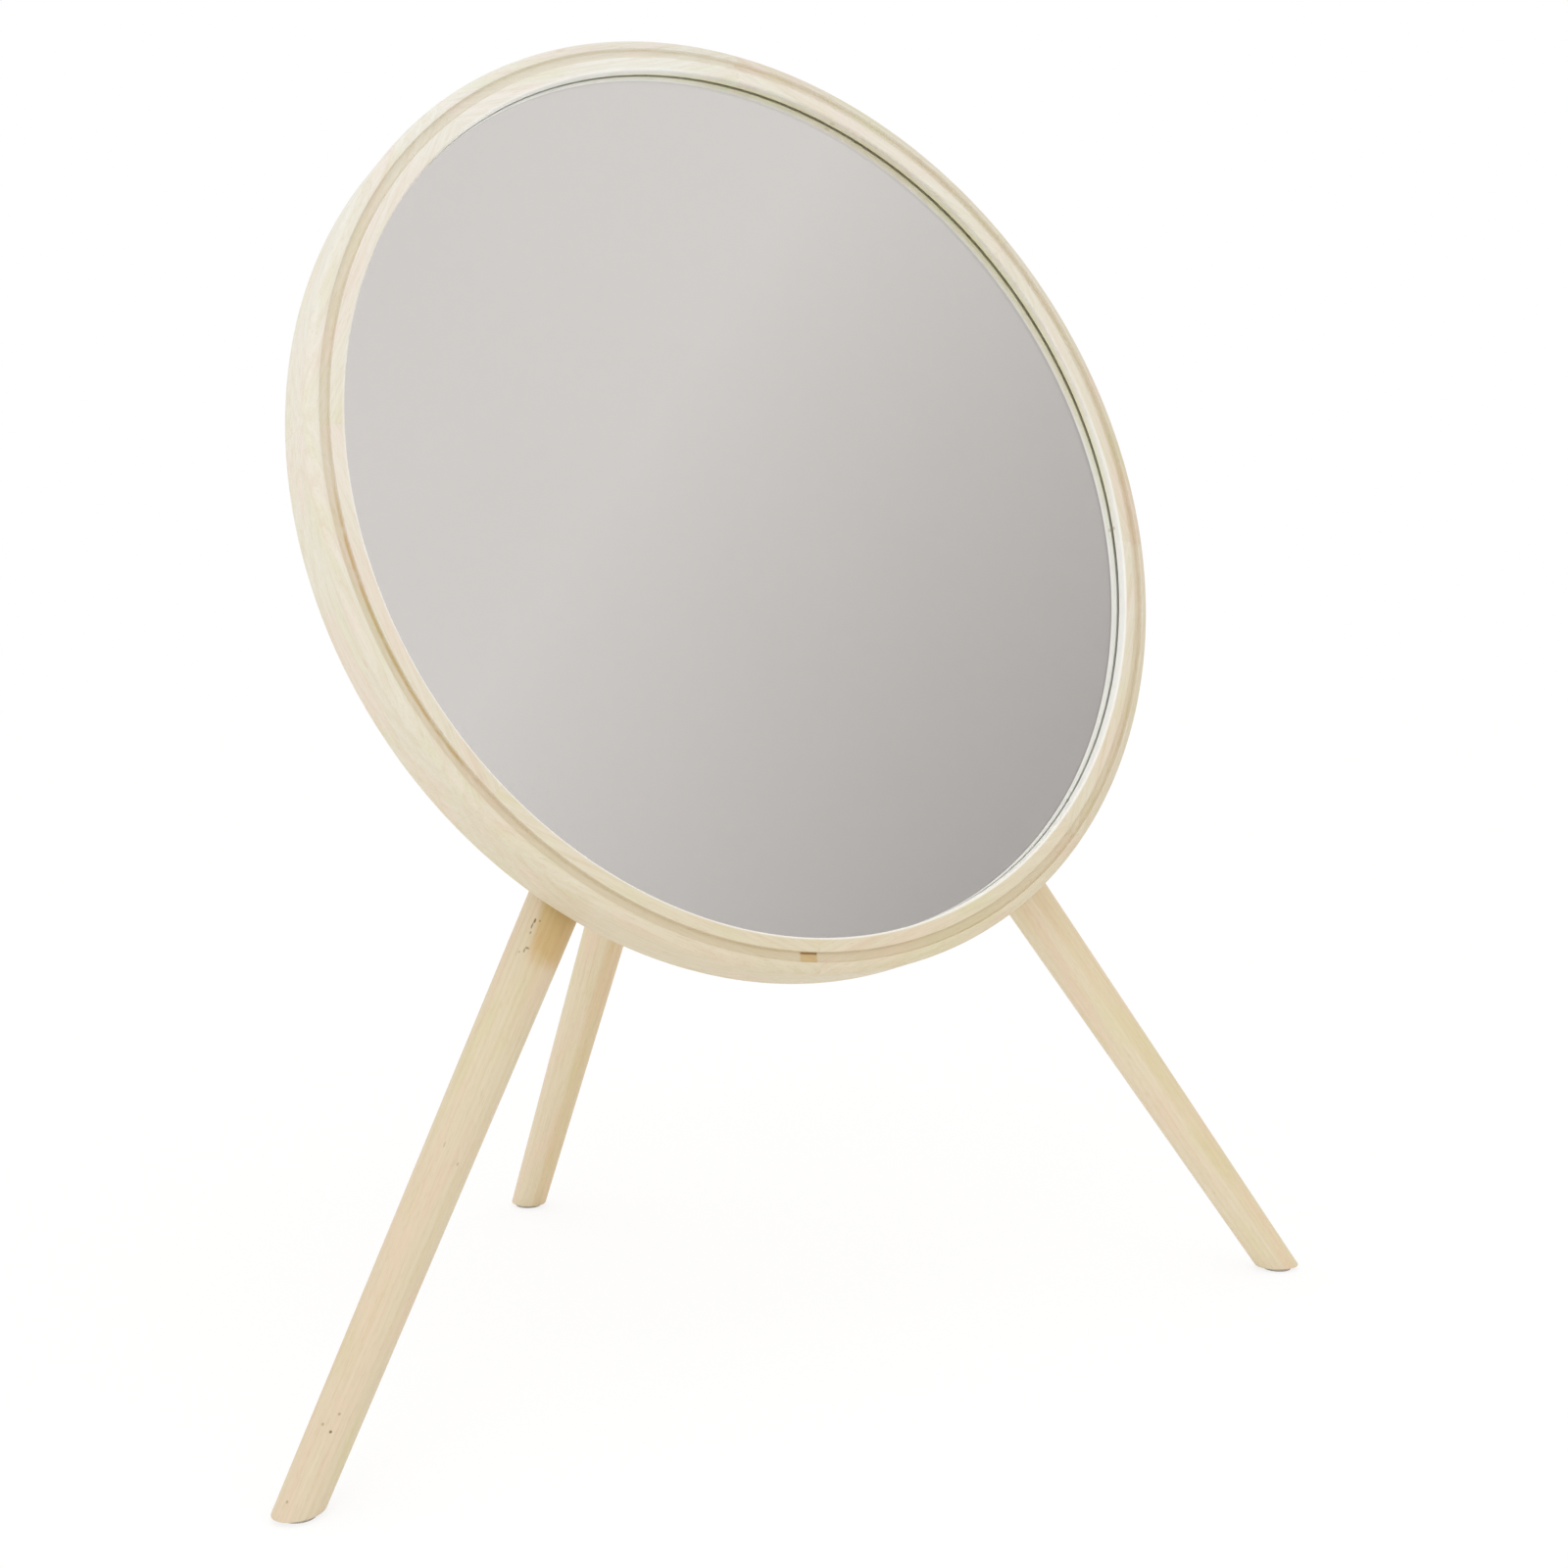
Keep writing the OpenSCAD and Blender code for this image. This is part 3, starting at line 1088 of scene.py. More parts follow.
@dataclass
class TurnedRing:
    """The ring of glued segments, with its lip, groove, bead and rebates."""

    head: HeadFrame
    outer: float = 400.0 * MM
    depth: float = 47.0 * MM
    sight: float = 371.0 * MM
    lip_round: float = 8.5 * MM
    groove_inner: float = 382.5 * MM
    groove_outer: float = 390.5 * MM
    groove_depth: float = 5.0 * MM
    groove_fillet: float = 0.6 * MM
    edge_round: float = 0.8 * MM
    sight_round: float = 2.0 * MM
    back_round: float = 3.0 * MM
    inner_ease: float = 0.6 * MM
    glass_inset: float = 8.5 * MM
    glass_clear: float = 0.05 * MM
    rebate: float = 379.0 * MM
    panel_depth: float = 16.0 * MM
    shoulder: float = 391.0 * MM
    count: int = 8
    first_joint: float = math.radians(6.2)
    steps: int = 64
    joint_ease: float = 0.12 * MM
    stain: Colour = rgb(186, 158, 112)
    seed_step: float = 3.1
    first_pith: tuple[float, float] = (0.12, 0.19)
    pith_step: tuple[float, float] = (0.017, -0.012)
    warmths: ClassVar[tuple[float, ...]] = (0.15, 0.10, -0.10, 0.0, 0.07, 0.02, 0.04, 0.0)
    glue_runs: ClassVar[dict[int, Span]] = {6: (-140.0 * MM, 110.0 * MM)}
    end_stains: ClassVar[dict[int, float]] = {5: 1.0}
    spots: ClassVar[dict[int, tuple[RingSpot, ...]]] = {
        1: (RingSpot(21.5, 371.0, 5.5, 3.0, 2.5, 0.3),),
        2: (RingSpot(94.0, 371.0, 7.0, 2.0, 2.0, 0.45),),
        6: (RingSpot(250.0, 400.0, 12.0, 5.0, 2.0, 0.2),),
        8: (RingSpot(340.6, 396.0, 2.0, 7.0, 2.0, 0.2),),
    }

    def span(self) -> float:
        """Angle of one segment."""
        return math.tau / self.count

    def joint(self, number: int) -> float:
        """Clock angle at which a segment starts."""
        return self.first_joint + (number - 1) * self.span()

    def section(self) -> Outline:
        """Closed outline of the ring's section.

        Returns:
            Points as radius and depth, from the outer side over the front to the back.
        """
        lip, edge, fillet = self.lip_round, self.edge_round, self.groove_fillet
        floor = self.groove_depth - fillet
        sight, glass = self.sight_round, self.glass_inset - self.glass_clear
        ease, back = self.inner_ease, self.back_round
        points = arc((self.outer - lip, lip), lip, 0, -90, 14)
        points += arc((self.groove_outer + edge, edge), edge, -90, -180, 4)
        points += arc((self.groove_outer - fillet, floor), fillet, 0, 90, 3)
        points += arc((self.groove_inner + fillet, floor), fillet, 90, 180, 3)
        points += arc((self.groove_inner - edge, edge), edge, 0, -90, 4)
        points += arc((self.sight + sight, sight), sight, -90, -180, 8)
        points += [(self.sight, glass), (self.rebate, glass), (self.rebate, self.panel_depth)]
        points += [(self.shoulder, self.panel_depth)]
        points += arc((self.shoulder + ease, self.depth - ease), ease, 180, 90, 3)
        points += arc((self.outer - back, self.depth - back), back, 90, 0, 8)
        return points

    def eased(self, points: Outline, ease: float) -> Outline:
        """The section, drawn in all round.

        Args:
            points: the section.
            ease: how far each point moves into the wood.

        Returns:
            The smaller section.
        """
        moved = []
        for number, point in enumerate(points):
            before, after = points[number - 1], points[(number + 1) % len(points)]
            run = (after[0] - before[0], after[1] - before[1])
            size = math.hypot(*run) or 1.0
            moved.append((point[0] + ease * run[1] / size, point[1] - ease * run[0] / size))
        return moved

    def segment(self, number: int, finish: Finish) -> bpy.types.Object:
        """One glued segment, its edges eased at both joints.

        Args:
            number: its number, clockwise from the top.
            finish: its wood.

        Returns:
            The new piece.
        """
        span, start = self.span(), self.joint(number)
        full = self.section()
        small = self.eased(full, self.joint_ease)
        nudge = self.joint_ease / self.outer
        stations = [(start, small), (start + nudge, full)]
        stations += [(start + span * step / self.steps, full) for step in range(1, self.steps)]
        stations += [(start + span - nudge, full), (start + span, small)]
        points = []
        for clock, outline in stations:
            points += [self.head.place(radius, clock, depth) for radius, depth in outline]
        faces = skin(len(stations), len(full))
        wood = finish.material(f"ring_wood_{number}")
        return new_piece(f"turned_segment_{number}", points, faces, [wood])

    def wood(self, number: int) -> RingWood:
        """Wood of one segment, its fibres along the segment's chord.

        Args:
            number: the segment's number.

        Returns:
            The finish.
        """
        head, middle = self.head, self.joint(number) + self.span() / 2
        grain = Grain(head.place(self.sight, middle, 0.0), head.tangent(middle),
                      head.radial(middle), number * self.seed_step)
        pith = tuple(first + step * number
                     for first, step in zip(self.first_pith, self.pith_step))
        return RingWood(grain, warmth=self.warmths[number - 1], pith=pith,
                        marks=self.marks(number), head=head, joint=self.joint(number),
                        sight=self.sight,
                        groove_middle=(self.groove_outer + self.groove_inner) / 2,
                        groove_half=(self.groove_outer - self.groove_inner) / 2,
                        glue_run=self.glue_runs.get(number),
                        end_stain=self.end_stains.get(number, 0.0))

    def marks(self, number: int) -> tuple[Mark, ...]:
        """Stains of one segment.

        Args:
            number: the segment's number.

        Returns:
            The stains, drawn out along the ring.
        """
        made = []
        for spot in self.spots.get(number, ()):
            clock = math.radians(spot.clock)
            place = self.head.place(spot.radius * MM, clock, spot.depth * MM)
            made.append(Mark(place, self.head.tangent(clock), spot.length * MM, spot.width * MM,
                             self.stain, spot.strength))
        return tuple(made)

    def build(self) -> None:
        """Makes and dresses every segment."""
        for number in range(1, self.count + 1):
            piece = self.segment(number, self.wood(number))
            settle(piece, "ring_wood", f"ring_segment_{number}")


@dataclass
class MirrorPane:
    """The round glass with its ground edge, silvered on its back."""

    head: HeadFrame
    radius: float = 377.5 * MM
    front: float = TurnedRing.glass_inset
    thickness: float = 3.0 * MM
    coat_gap: float = 0.03 * MM
    arris: float = 0.4 * MM
    sides: int = 256

    def build(self) -> None:
        """Makes the pane: glass on its front and edge, silver on its back."""
        back = self.front + self.thickness - self.coat_gap
        rows = [(self.radius - self.arris, self.front), (self.radius, self.front + self.arris),
                (self.radius, back - self.arris), (self.radius - self.arris, back)]
        clocks = [math.tau * side / self.sides for side in range(self.sides)]
        points = [self.head.place(radius, clock, depth)
                  for radius, depth in rows for clock in clocks]
        faces = skin(len(rows), self.sides)
        glass = Clear(self.head, self.radius).material("float_glass")
        silver = Silver().material("silver")
        pane = new_piece("mirror_pane", points, faces, [glass, silver])
        back_face = pane.data.polygons[len(pane.data.polygons) - 1]
        back_face.material_index = 1
        settle(pane, "mirror_glass", "mirror_glass")


class Side(Enum):
    """Where a leg stands."""

    LEFT = "left"
    RIGHT = "right"
    REAR = "rear"


@dataclass(frozen=True)
class Nick:
    """A small dent in a leg: millimetres down its axis, degrees round it, and its size."""

    distance: float
    turn: float
    length: float
    width: float
    dent: float
    strength: float


@dataclass
class TaperedLeg:
    """A round tapered leg with its tenon, cut level just above the floor."""

    side: Side
    hub: Vector
    foot: Vector
    outward: Vector
    warmth: float
    shade_flank: ShadeFlank
    nicks: tuple[Nick, ...] = ()
    pale: Colour = rgb(231, 219, 193)
    warm: Colour = rgb(215, 201, 172)
    nick_tone: Colour = rgb(128, 104, 64)
    top_d: float = 50.0 * MM
    foot_d: float = 33.0 * MM
    shoulder: float = 66.0 * MM
    tenon_d: float = 25.0 * MM
    tenon_len: float = 34.0 * MM
    tenon_chamfer: float = 2.0 * MM
    pad_height: float = 3.0 * MM
    edge_ease: float = 1.5 * MM
    sides: int = 120
    coarse: float = 9.0 * MM
    fine: float = 0.9 * MM
    fine_reach: float = 2.5
    dent_ragged: float = 0.45
    dent_power: float = 0.7
    edge_steps: ClassVar[tuple[float, ...]] = (0.25, 0.5, 0.75, 1.0)
    cut_steps: ClassVar[tuple[float, ...]] = (0.35, 0.7, 0.95)
    pith: tuple[float, float] = (0.05, -0.04)
    ring_gap: float = 4.5 * MM
    streak_share: float = 0.2
    first_seed: float = 11.0
    seed_step: float = 5.0
    axis: Vector = field(init=False)
    across: Vector = field(init=False)
    around: Vector = field(init=False)
    taper: float = field(init=False)

    def __post_init__(self) -> None:
        """Works out the axes and the taper."""
        run = self.foot - self.hub
        self.axis = run.normalized()
        self.across = (self.outward - self.axis * self.outward.dot(self.axis)).normalized()
        self.around = self.axis.cross(self.across)
        self.taper = (self.top_d - self.foot_d) / 2 / (run.length - self.shoulder)

    def radius(self, distance: float) -> float:
        """Radius of the leg at a distance from the hub point."""
        return self.top_d / 2 - self.taper * (distance - self.shoulder)

    def way(self, turn: float) -> Vector:
        """Way outwards from the axis at an angle round it."""
        return self.across * math.cos(turn) + self.around * math.sin(turn)

    def surface_point(self, distance: float, turn: float) -> Vector:
        """A point on the leg's side."""
        return self.hub + self.axis * distance + self.way(turn) * self.radius(distance)

    def cut_distance(self, turn: float) -> float:
        """Where the side meets the level cut.

        Args:
            turn: angle round the axis.

        Returns:
            The distance from the hub point, along the axis.
        """
        fall = self.way(turn).z
        start = self.hub.z + self.radius(0.0) * fall - self.pad_height
        return start / (self.taper * fall - self.axis.z)

    def marks(self) -> tuple[Mark, ...]:
        """The nicks as marks on the leg's surface.

        Returns:
            One mark for each nick.
        """
        made = []
        for nick in self.nicks:
            place = self.surface_point(nick.distance * MM, math.radians(nick.turn))
            made.append(Mark(place, self.axis, nick.length * MM, nick.width * MM,
                             self.nick_tone, nick.strength, nick.dent * MM))
        return tuple(made)

    def shares(self) -> list[float]:
        """Places of the rows along the side, closer together at the nicks.

        Returns:
            Shares of the way from the shoulder to the cut, from 0 to 1.
        """
        length = self.cut_distance(math.pi / 2) - self.shoulder
        found, place = [], 0.0
        while place < length:
            found.append(place / length)
            down = (place + self.shoulder) / MM
            close = any(abs(down - nick.distance) < self.fine_reach * nick.length
                        for nick in self.nicks)
            place += self.fine if close else self.coarse
        return found + [1.0]

    def end_rows(self, turns: Sequence[float]) -> list[list[Vector]]:
        """Rows of points over the tenon and its shoulder.

        Args:
            turns: angle of each side round the axis.

        Returns:
            The rows, from the tenon's end to the leg's side.
        """
        tenon, base = self.tenon_d / 2, self.shoulder - self.tenon_len
        full, ease = self.top_d / 2, self.edge_ease / 3
        profile = [(tenon - self.tenon_chamfer, base), (tenon, base + self.tenon_chamfer),
                   (tenon, self.shoulder), (full - ease, self.shoulder),
                   (full - ease * 0.3, self.shoulder + ease * 0.3)]
        return [[self.hub + self.axis * down + self.way(turn) * radius for turn in turns]
                for radius, down in profile]

    def rows(self) -> list[list[Vector]]:
        """Rows of points from the tenon's end to the middle of the cut.

        Returns:
            The rows, each with one point for every side.
        """
        turns = [math.tau * side / self.sides for side in range(self.sides)]
        rows = self.end_rows(turns)
        ends = [self.cut_distance(turn) for turn in turns]
        top = self.shoulder + self.edge_ease / 3
        for share in self.shares():
            rows.append([self.surface_point(top + (end - self.edge_ease - top) * share, turn)
                         for end, turn in zip(ends, turns)])
        sides = rows[-1]
        middle = self.hub + self.axis * ((self.hub.z - self.pad_height) / -self.axis.z)
        edges = [self.surface_point(end, turn) for end, turn in zip(ends, turns)]
        inner = [edge + (middle - edge).normalized() * self.edge_ease for edge in edges]
        for step in self.edge_steps:
            rows.append([(1 - step) ** 2 * side + 2 * step * (1 - step) * edge + step ** 2 * under
                         for side, edge, under in zip(sides, edges, inner)])
        for share in self.cut_steps:
            rows.append([under + (middle - under) * share for under in inner])
        return rows

    def dented(self, point: Vector, marks: Sequence[Mark]) -> Vector:
        """A point of the side, pushed in by the nicks.

        Args:
            point: point of the smooth leg.
            marks: the nicks.

        Returns:
            The moved point.
        """
        inward = self.hub + self.axis * (point - self.hub).dot(self.axis) - point
        if inward.length < self.foot_d / 4:
            return point
        depth = 0.0
        for mark in marks:
            uneven = self.dent_ragged * noise.noise(point * Mark.ragged_scale)
            depth += mark.dent * max(0.0, 1.0 - mark.reach(point) - uneven) ** self.dent_power
        return point + inward.normalized() * depth

    def build(self) -> None:
        """Makes and dresses the leg."""
        name = self.side.value
        marks = self.marks()
        rows = self.rows()
        points = [self.dented(point, marks) for row in rows for point in row]
        faces = skin(len(rows), self.sides)
        seed = self.first_seed + self.seed_step * len(name)
        grain = Grain(self.hub, self.axis, self.across, seed)
        wood = LegWood(grain, self.pale, self.warm, self.warmth, pith=self.pith,
                       ring_gap=self.ring_gap, streak_share=self.streak_share,
                       marks=marks, shade_flank=self.shade_flank)
        ash = wood.material(f"leg_wood_{name}")
        leg = new_piece(f"tapered_leg_{name}", points, faces, [ash])
        settle(leg, "leg_wood", f"leg_{name}")


@dataclass
class FeltPad:
    """A pressed felt disc under a foot, with loose fibres round its edge."""

    side: Side
    finish: Finish
    sides: int = 96
    bulge: float = 0.25 * MM
    press: float = 1.6
    uneven_round: float = 6.0
    uneven_up: float = 3.0
    uneven_shift: float = 50.0
    fuzz_count: int = 170
    fuzz_length: float = 0.7 * MM
    fuzz_width: float = 0.06 * MM
    fuzz_root: float = 0.4 * MM
    fuzz_margin: float = 0.2 * MM
    fuzz_floor: float = 0.05 * MM
    fuzz_aside: float = 0.8
    fuzz_lift: float = 0.25
    fuzz_shortest: float = 0.6
    profile: ClassVar[Outline] = [
        (0.45, 0.0), (0.8, 0.0), (0.985, 0.0), (1.0, 0.12), (1.0, 0.5), (1.0, 0.88),
        (0.985, 1.0), (0.8, 1.0), (0.45, 1.0),
    ]

    def rim_point(self, low: Vector, high: Vector, share: float, level: float,
                  turn: float) -> Vector:
        """A point of the disc, its side uneven and pressed out a little.

        Args:
            low: lowest corner of the pad's space.
            high: highest corner of it.
            share: distance from the middle as a share of the radius.
            level: height as a share of the pad's height.
            turn: angle round the pad.

        Returns:
            The point.
        """
        way = Vector((math.cos(turn), math.sin(turn), 0.0))
        rise = Vector((0.0, 0.0, level * self.uneven_up))
        rough = noise.noise(way * self.uneven_round + rise + low * self.uneven_shift)
        pressed = 1.0 - self.press * (level - 0.5) ** 2
        reach = (high.x - low.x) / 2 * share - self.bulge * (0.5 + 0.5 * rough) * pressed
        centre = Vector(((low.x + high.x) / 2, (low.y + high.y) / 2, low.z))
        return centre + way * reach + Vector((0.0, 0.0, (high.z - low.z) * level))

    def disc(self, low: Vector, high: Vector) -> tuple[list[Vector], list[Face]]:
        """The pressed disc.

        Args:
            low: lowest corner of its space.
            high: highest corner of its space.

        Returns:
            Its points and faces.
        """
        turns = [math.tau * side / self.sides for side in range(self.sides)]
        points = [self.rim_point(low, high, share, level, turn)
                  for share, level in self.profile for turn in turns]
        return points, skin(len(self.profile), self.sides)

    def fibre(self, draw: random.Random, low: Vector, high: Vector) -> list[Vector]:
        """One loose fibre that starts in the pad's edge.

        Args:
            draw: seeded random numbers.
            low: lowest corner of the pad.
            high: highest corner of the pad.

        Returns:
            Three points at its root and one at its tip.
        """
        turn = draw.uniform(0.0, math.tau)
        way = Vector((math.cos(turn), math.sin(turn), 0.0))
        centre, radius = (low + high) / 2, (high.x - low.x) / 2
        level = draw.uniform(low.z + self.fuzz_margin, high.z - self.fuzz_margin)
        root = Vector((centre.x, centre.y, level)) + way * (radius - self.fuzz_root)
        aside = Vector((-way.y, way.x, 0.0))
        lift = Vector((0.0, 0.0, 1.0))
        run = way + aside * draw.uniform(-self.fuzz_aside, self.fuzz_aside)
        run += lift * draw.uniform(-self.fuzz_lift, self.fuzz_lift)
        tip = root + run.normalized() * draw.uniform(self.fuzz_shortest, 1.0) * self.fuzz_length
        tip.z = max(tip.z, low.z + self.fuzz_floor)
        return [root + part * self.fuzz_width for part in (aside, lift, -aside)] + [tip]

    def build(self) -> None:
        """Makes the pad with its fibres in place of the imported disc."""
        name = self.side.value
        low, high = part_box(f"foot_felt_{name}")
        points, faces = self.disc(low, high)
        draw = random.Random(len(name))
        for _ in range(self.fuzz_count):
            root = len(points)
            points += self.fibre(draw, low, high)
            faces.append((root, root + 2, root + 1))
            faces += [(root + k, root + (k + 1) % 3, root + 3) for k in range(3)]
        felt = self.finish.material(f"felt_{name}")
        pad = new_piece(f"felt_pad_{name}", points, faces, [felt])
        settle(pad, "felt", f"foot_felt_{name}")


@dataclass
class Stand:
    """The three legs, their feet and the hub block."""

    head: HeadFrame
    hub_setback: float = 53.3 * MM
    hub_rise: float = 35.0 * MM
    warmths: ClassVar[dict[Side, float]] = {Side.LEFT: 0.7, Side.RIGHT: 0.15, Side.REAR: 0.3}
    # painted shade on each leg's side away from the light; on the left leg only under the ring,
    # where its shadow falls
    shade_flanks: ClassVar[dict[Side, ShadeFlank]] = {
        Side.LEFT: ShadeFlank(1.0, -0.1, 0.463, 5.0), Side.RIGHT: ShadeFlank(0.3, 0.1, 1.2),
        Side.REAR: ShadeFlank(0.4, 0.0, 1.2),
    }
    nicks: ClassVar[dict[Side, tuple[Nick, ...]]] = {
        Side.LEFT: (
            Nick(436.2, -47.2, 2.4, 1.1, 0.7, 0.9), Nick(435.2, -57.2, 1.3, 0.9, 0.4, 0.55),
            Nick(440.5, -45.7, 3.2, 0.9, 0.5, 0.7), Nick(446.0, -48.2, 1.7, 1.0, 0.4, 0.5),
            Nick(458.4, -54.6, 1.1, 2.1, 0.5, 0.7), Nick(460.9, -50.9, 2.4, 0.9, 0.5, 0.6),
            Nick(462.9, -41.6, 1.1, 1.1, 0.3, 0.35), Nick(616.8, -53.7, 3.0, 1.0, 0.2, 0.25),
            Nick(626.1, -97.0, 1.8, 1.1, 0.2, 0.3), Nick(826.3, -67.7, 1.3, 1.2, 0.5, 0.9),
            Nick(823.5, -43.8, 1.3, 1.1, 0.3, 0.45), Nick(813.6, -70.4, 1.4, 1.1, 0.3, 0.45),
            Nick(877.6, -35.9, 1.3, 1.3, 0.3, 0.45),
        ),
    }

    def hub_point(self) -> Vector:
        """The point where the three leg axes meet."""
        return self.head.centre - self.head.out * self.hub_setback + self.head.up * self.hub_rise

    def foot(self, side: Side) -> Vector:
        """Where a leg's axis meets the floor.

        Args:
            side: which leg.

        Returns:
            The point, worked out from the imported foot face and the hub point.
        """
        mounts = {mount["name"]: mount for mount in frame["record"]["mounts"]}
        face = Vector(mounts[f"foot_{side.value}_face"]["pos_m"])
        hub = self.hub_point()
        run = face + Vector((0.0, 0.0, TaperedLeg.pad_height)) - hub
        return hub + run * (hub.z / -run.z)

    def outward(self, side: Side) -> Vector:
        """Way from which the angles round a leg are counted.

        Args:
            side: which leg.

        Returns:
            A vector that isn't along the leg.
        """
        if side is Side.REAR:
            return Vector((0.0, 1.0, 0.0))
        across = self.head.out.cross(self.foot(side) - self.hub_point())
        return -across if side is Side.LEFT else across

    def build(self) -> None:
        """Makes the legs and pads, and dresses the hub and what is in it."""
        hub = self.hub_point()
        felt = Speckled(rgb(214, 207, 198), rgb(176, 168, 158), 1500.0, 0.95, 0.12 * MM, 0.3)
        for side in Side:
            TaperedLeg(side, hub, self.foot(side), self.outward(side), self.warmths[side],
                       self.shade_flanks[side], self.nicks.get(side, ())).build()
            FeltPad(side, felt).build()
        block = Grain(hub, self.head.right, self.head.up, 21.0)
        dress("leg_hub", Wood(block, warmth=0.8, pith=(0.06, 0.04), ring_share=0.3))
        dress("leg_lock_screws", Metal(rgb(150, 150, 152), rgb(118, 116, 112), 0.36))
        dress("foot_nail_plates", Metal(rgb(128, 122, 110), rgb(96, 90, 80), 0.45))
        dress("hub_screws", Metal())


@dataclass
class Back:
    """What lies behind the glass: coat, spacers, tape, panel, screws and dowels."""

    head: HeadFrame

    def panel(self) -> Plywood:
        """The back panel's birch plywood, its face grain upright.

        Returns:
            The finish.
        """
        board = Grain(self.head.centre, self.head.up, self.head.right, 4.0)
        return Plywood(board, rgb(233, 217, 187), rgb(222, 201, 164), ring_share=0.45,
                       pore_share=0.2, roughness=0.62, out=self.head.out)

    def build(self) -> None:
        """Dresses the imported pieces."""
        paint = Speckled(rgb(128, 132, 134), rgb(112, 116, 118), 700.0, 0.6, 0.03 * MM)
        cork = Speckled(rgb(190, 148, 100), rgb(132, 92, 56), 500.0, 0.85, 0.2 * MM)
        foam = Speckled(rgb(58, 58, 60), rgb(40, 40, 42), 900.0, 0.9, 0.15 * MM)
        dowel = Grain(self.head.centre, self.head.right, self.head.up, 8.0)
        dress("silver_coat", paint)
        dress("glass_edge_spacers", cork)
        dress("cushion_tape", foam)
        dress("back_panel", self.panel())
        dress("back_panel_screws", Metal())
        dress("segment_dowels", Wood(dowel, warmth=0.9))


@dataclass(frozen=True)
class Lamp:
    """A square soft lamp, at a distance along a way."""

    name: str
    way: Vector
    distance: float
    power: float
    size: float
    colour: Colour

    def build(self, target: Vector) -> None:
        """Hangs the lamp and aims it.

        Args:
            target: point that it shines at.
        """
        light = bpy.data.lights.new(self.name, "AREA")
        light.energy = self.power
        light.size = self.size
        light.color = self.colour
        lamp = bpy.data.objects.new(self.name, light)
        lamp.location = target + self.way.normalized() * self.distance
        lamp.rotation_euler = (-self.way).to_track_quat("-Z", "Y").to_euler()
        lamp.visible_camera = False
        lamp.visible_transmission = False
        bpy.context.scene.collection.objects.link(lamp)
        log.info("%s: %.0f W", self.name, self.power)


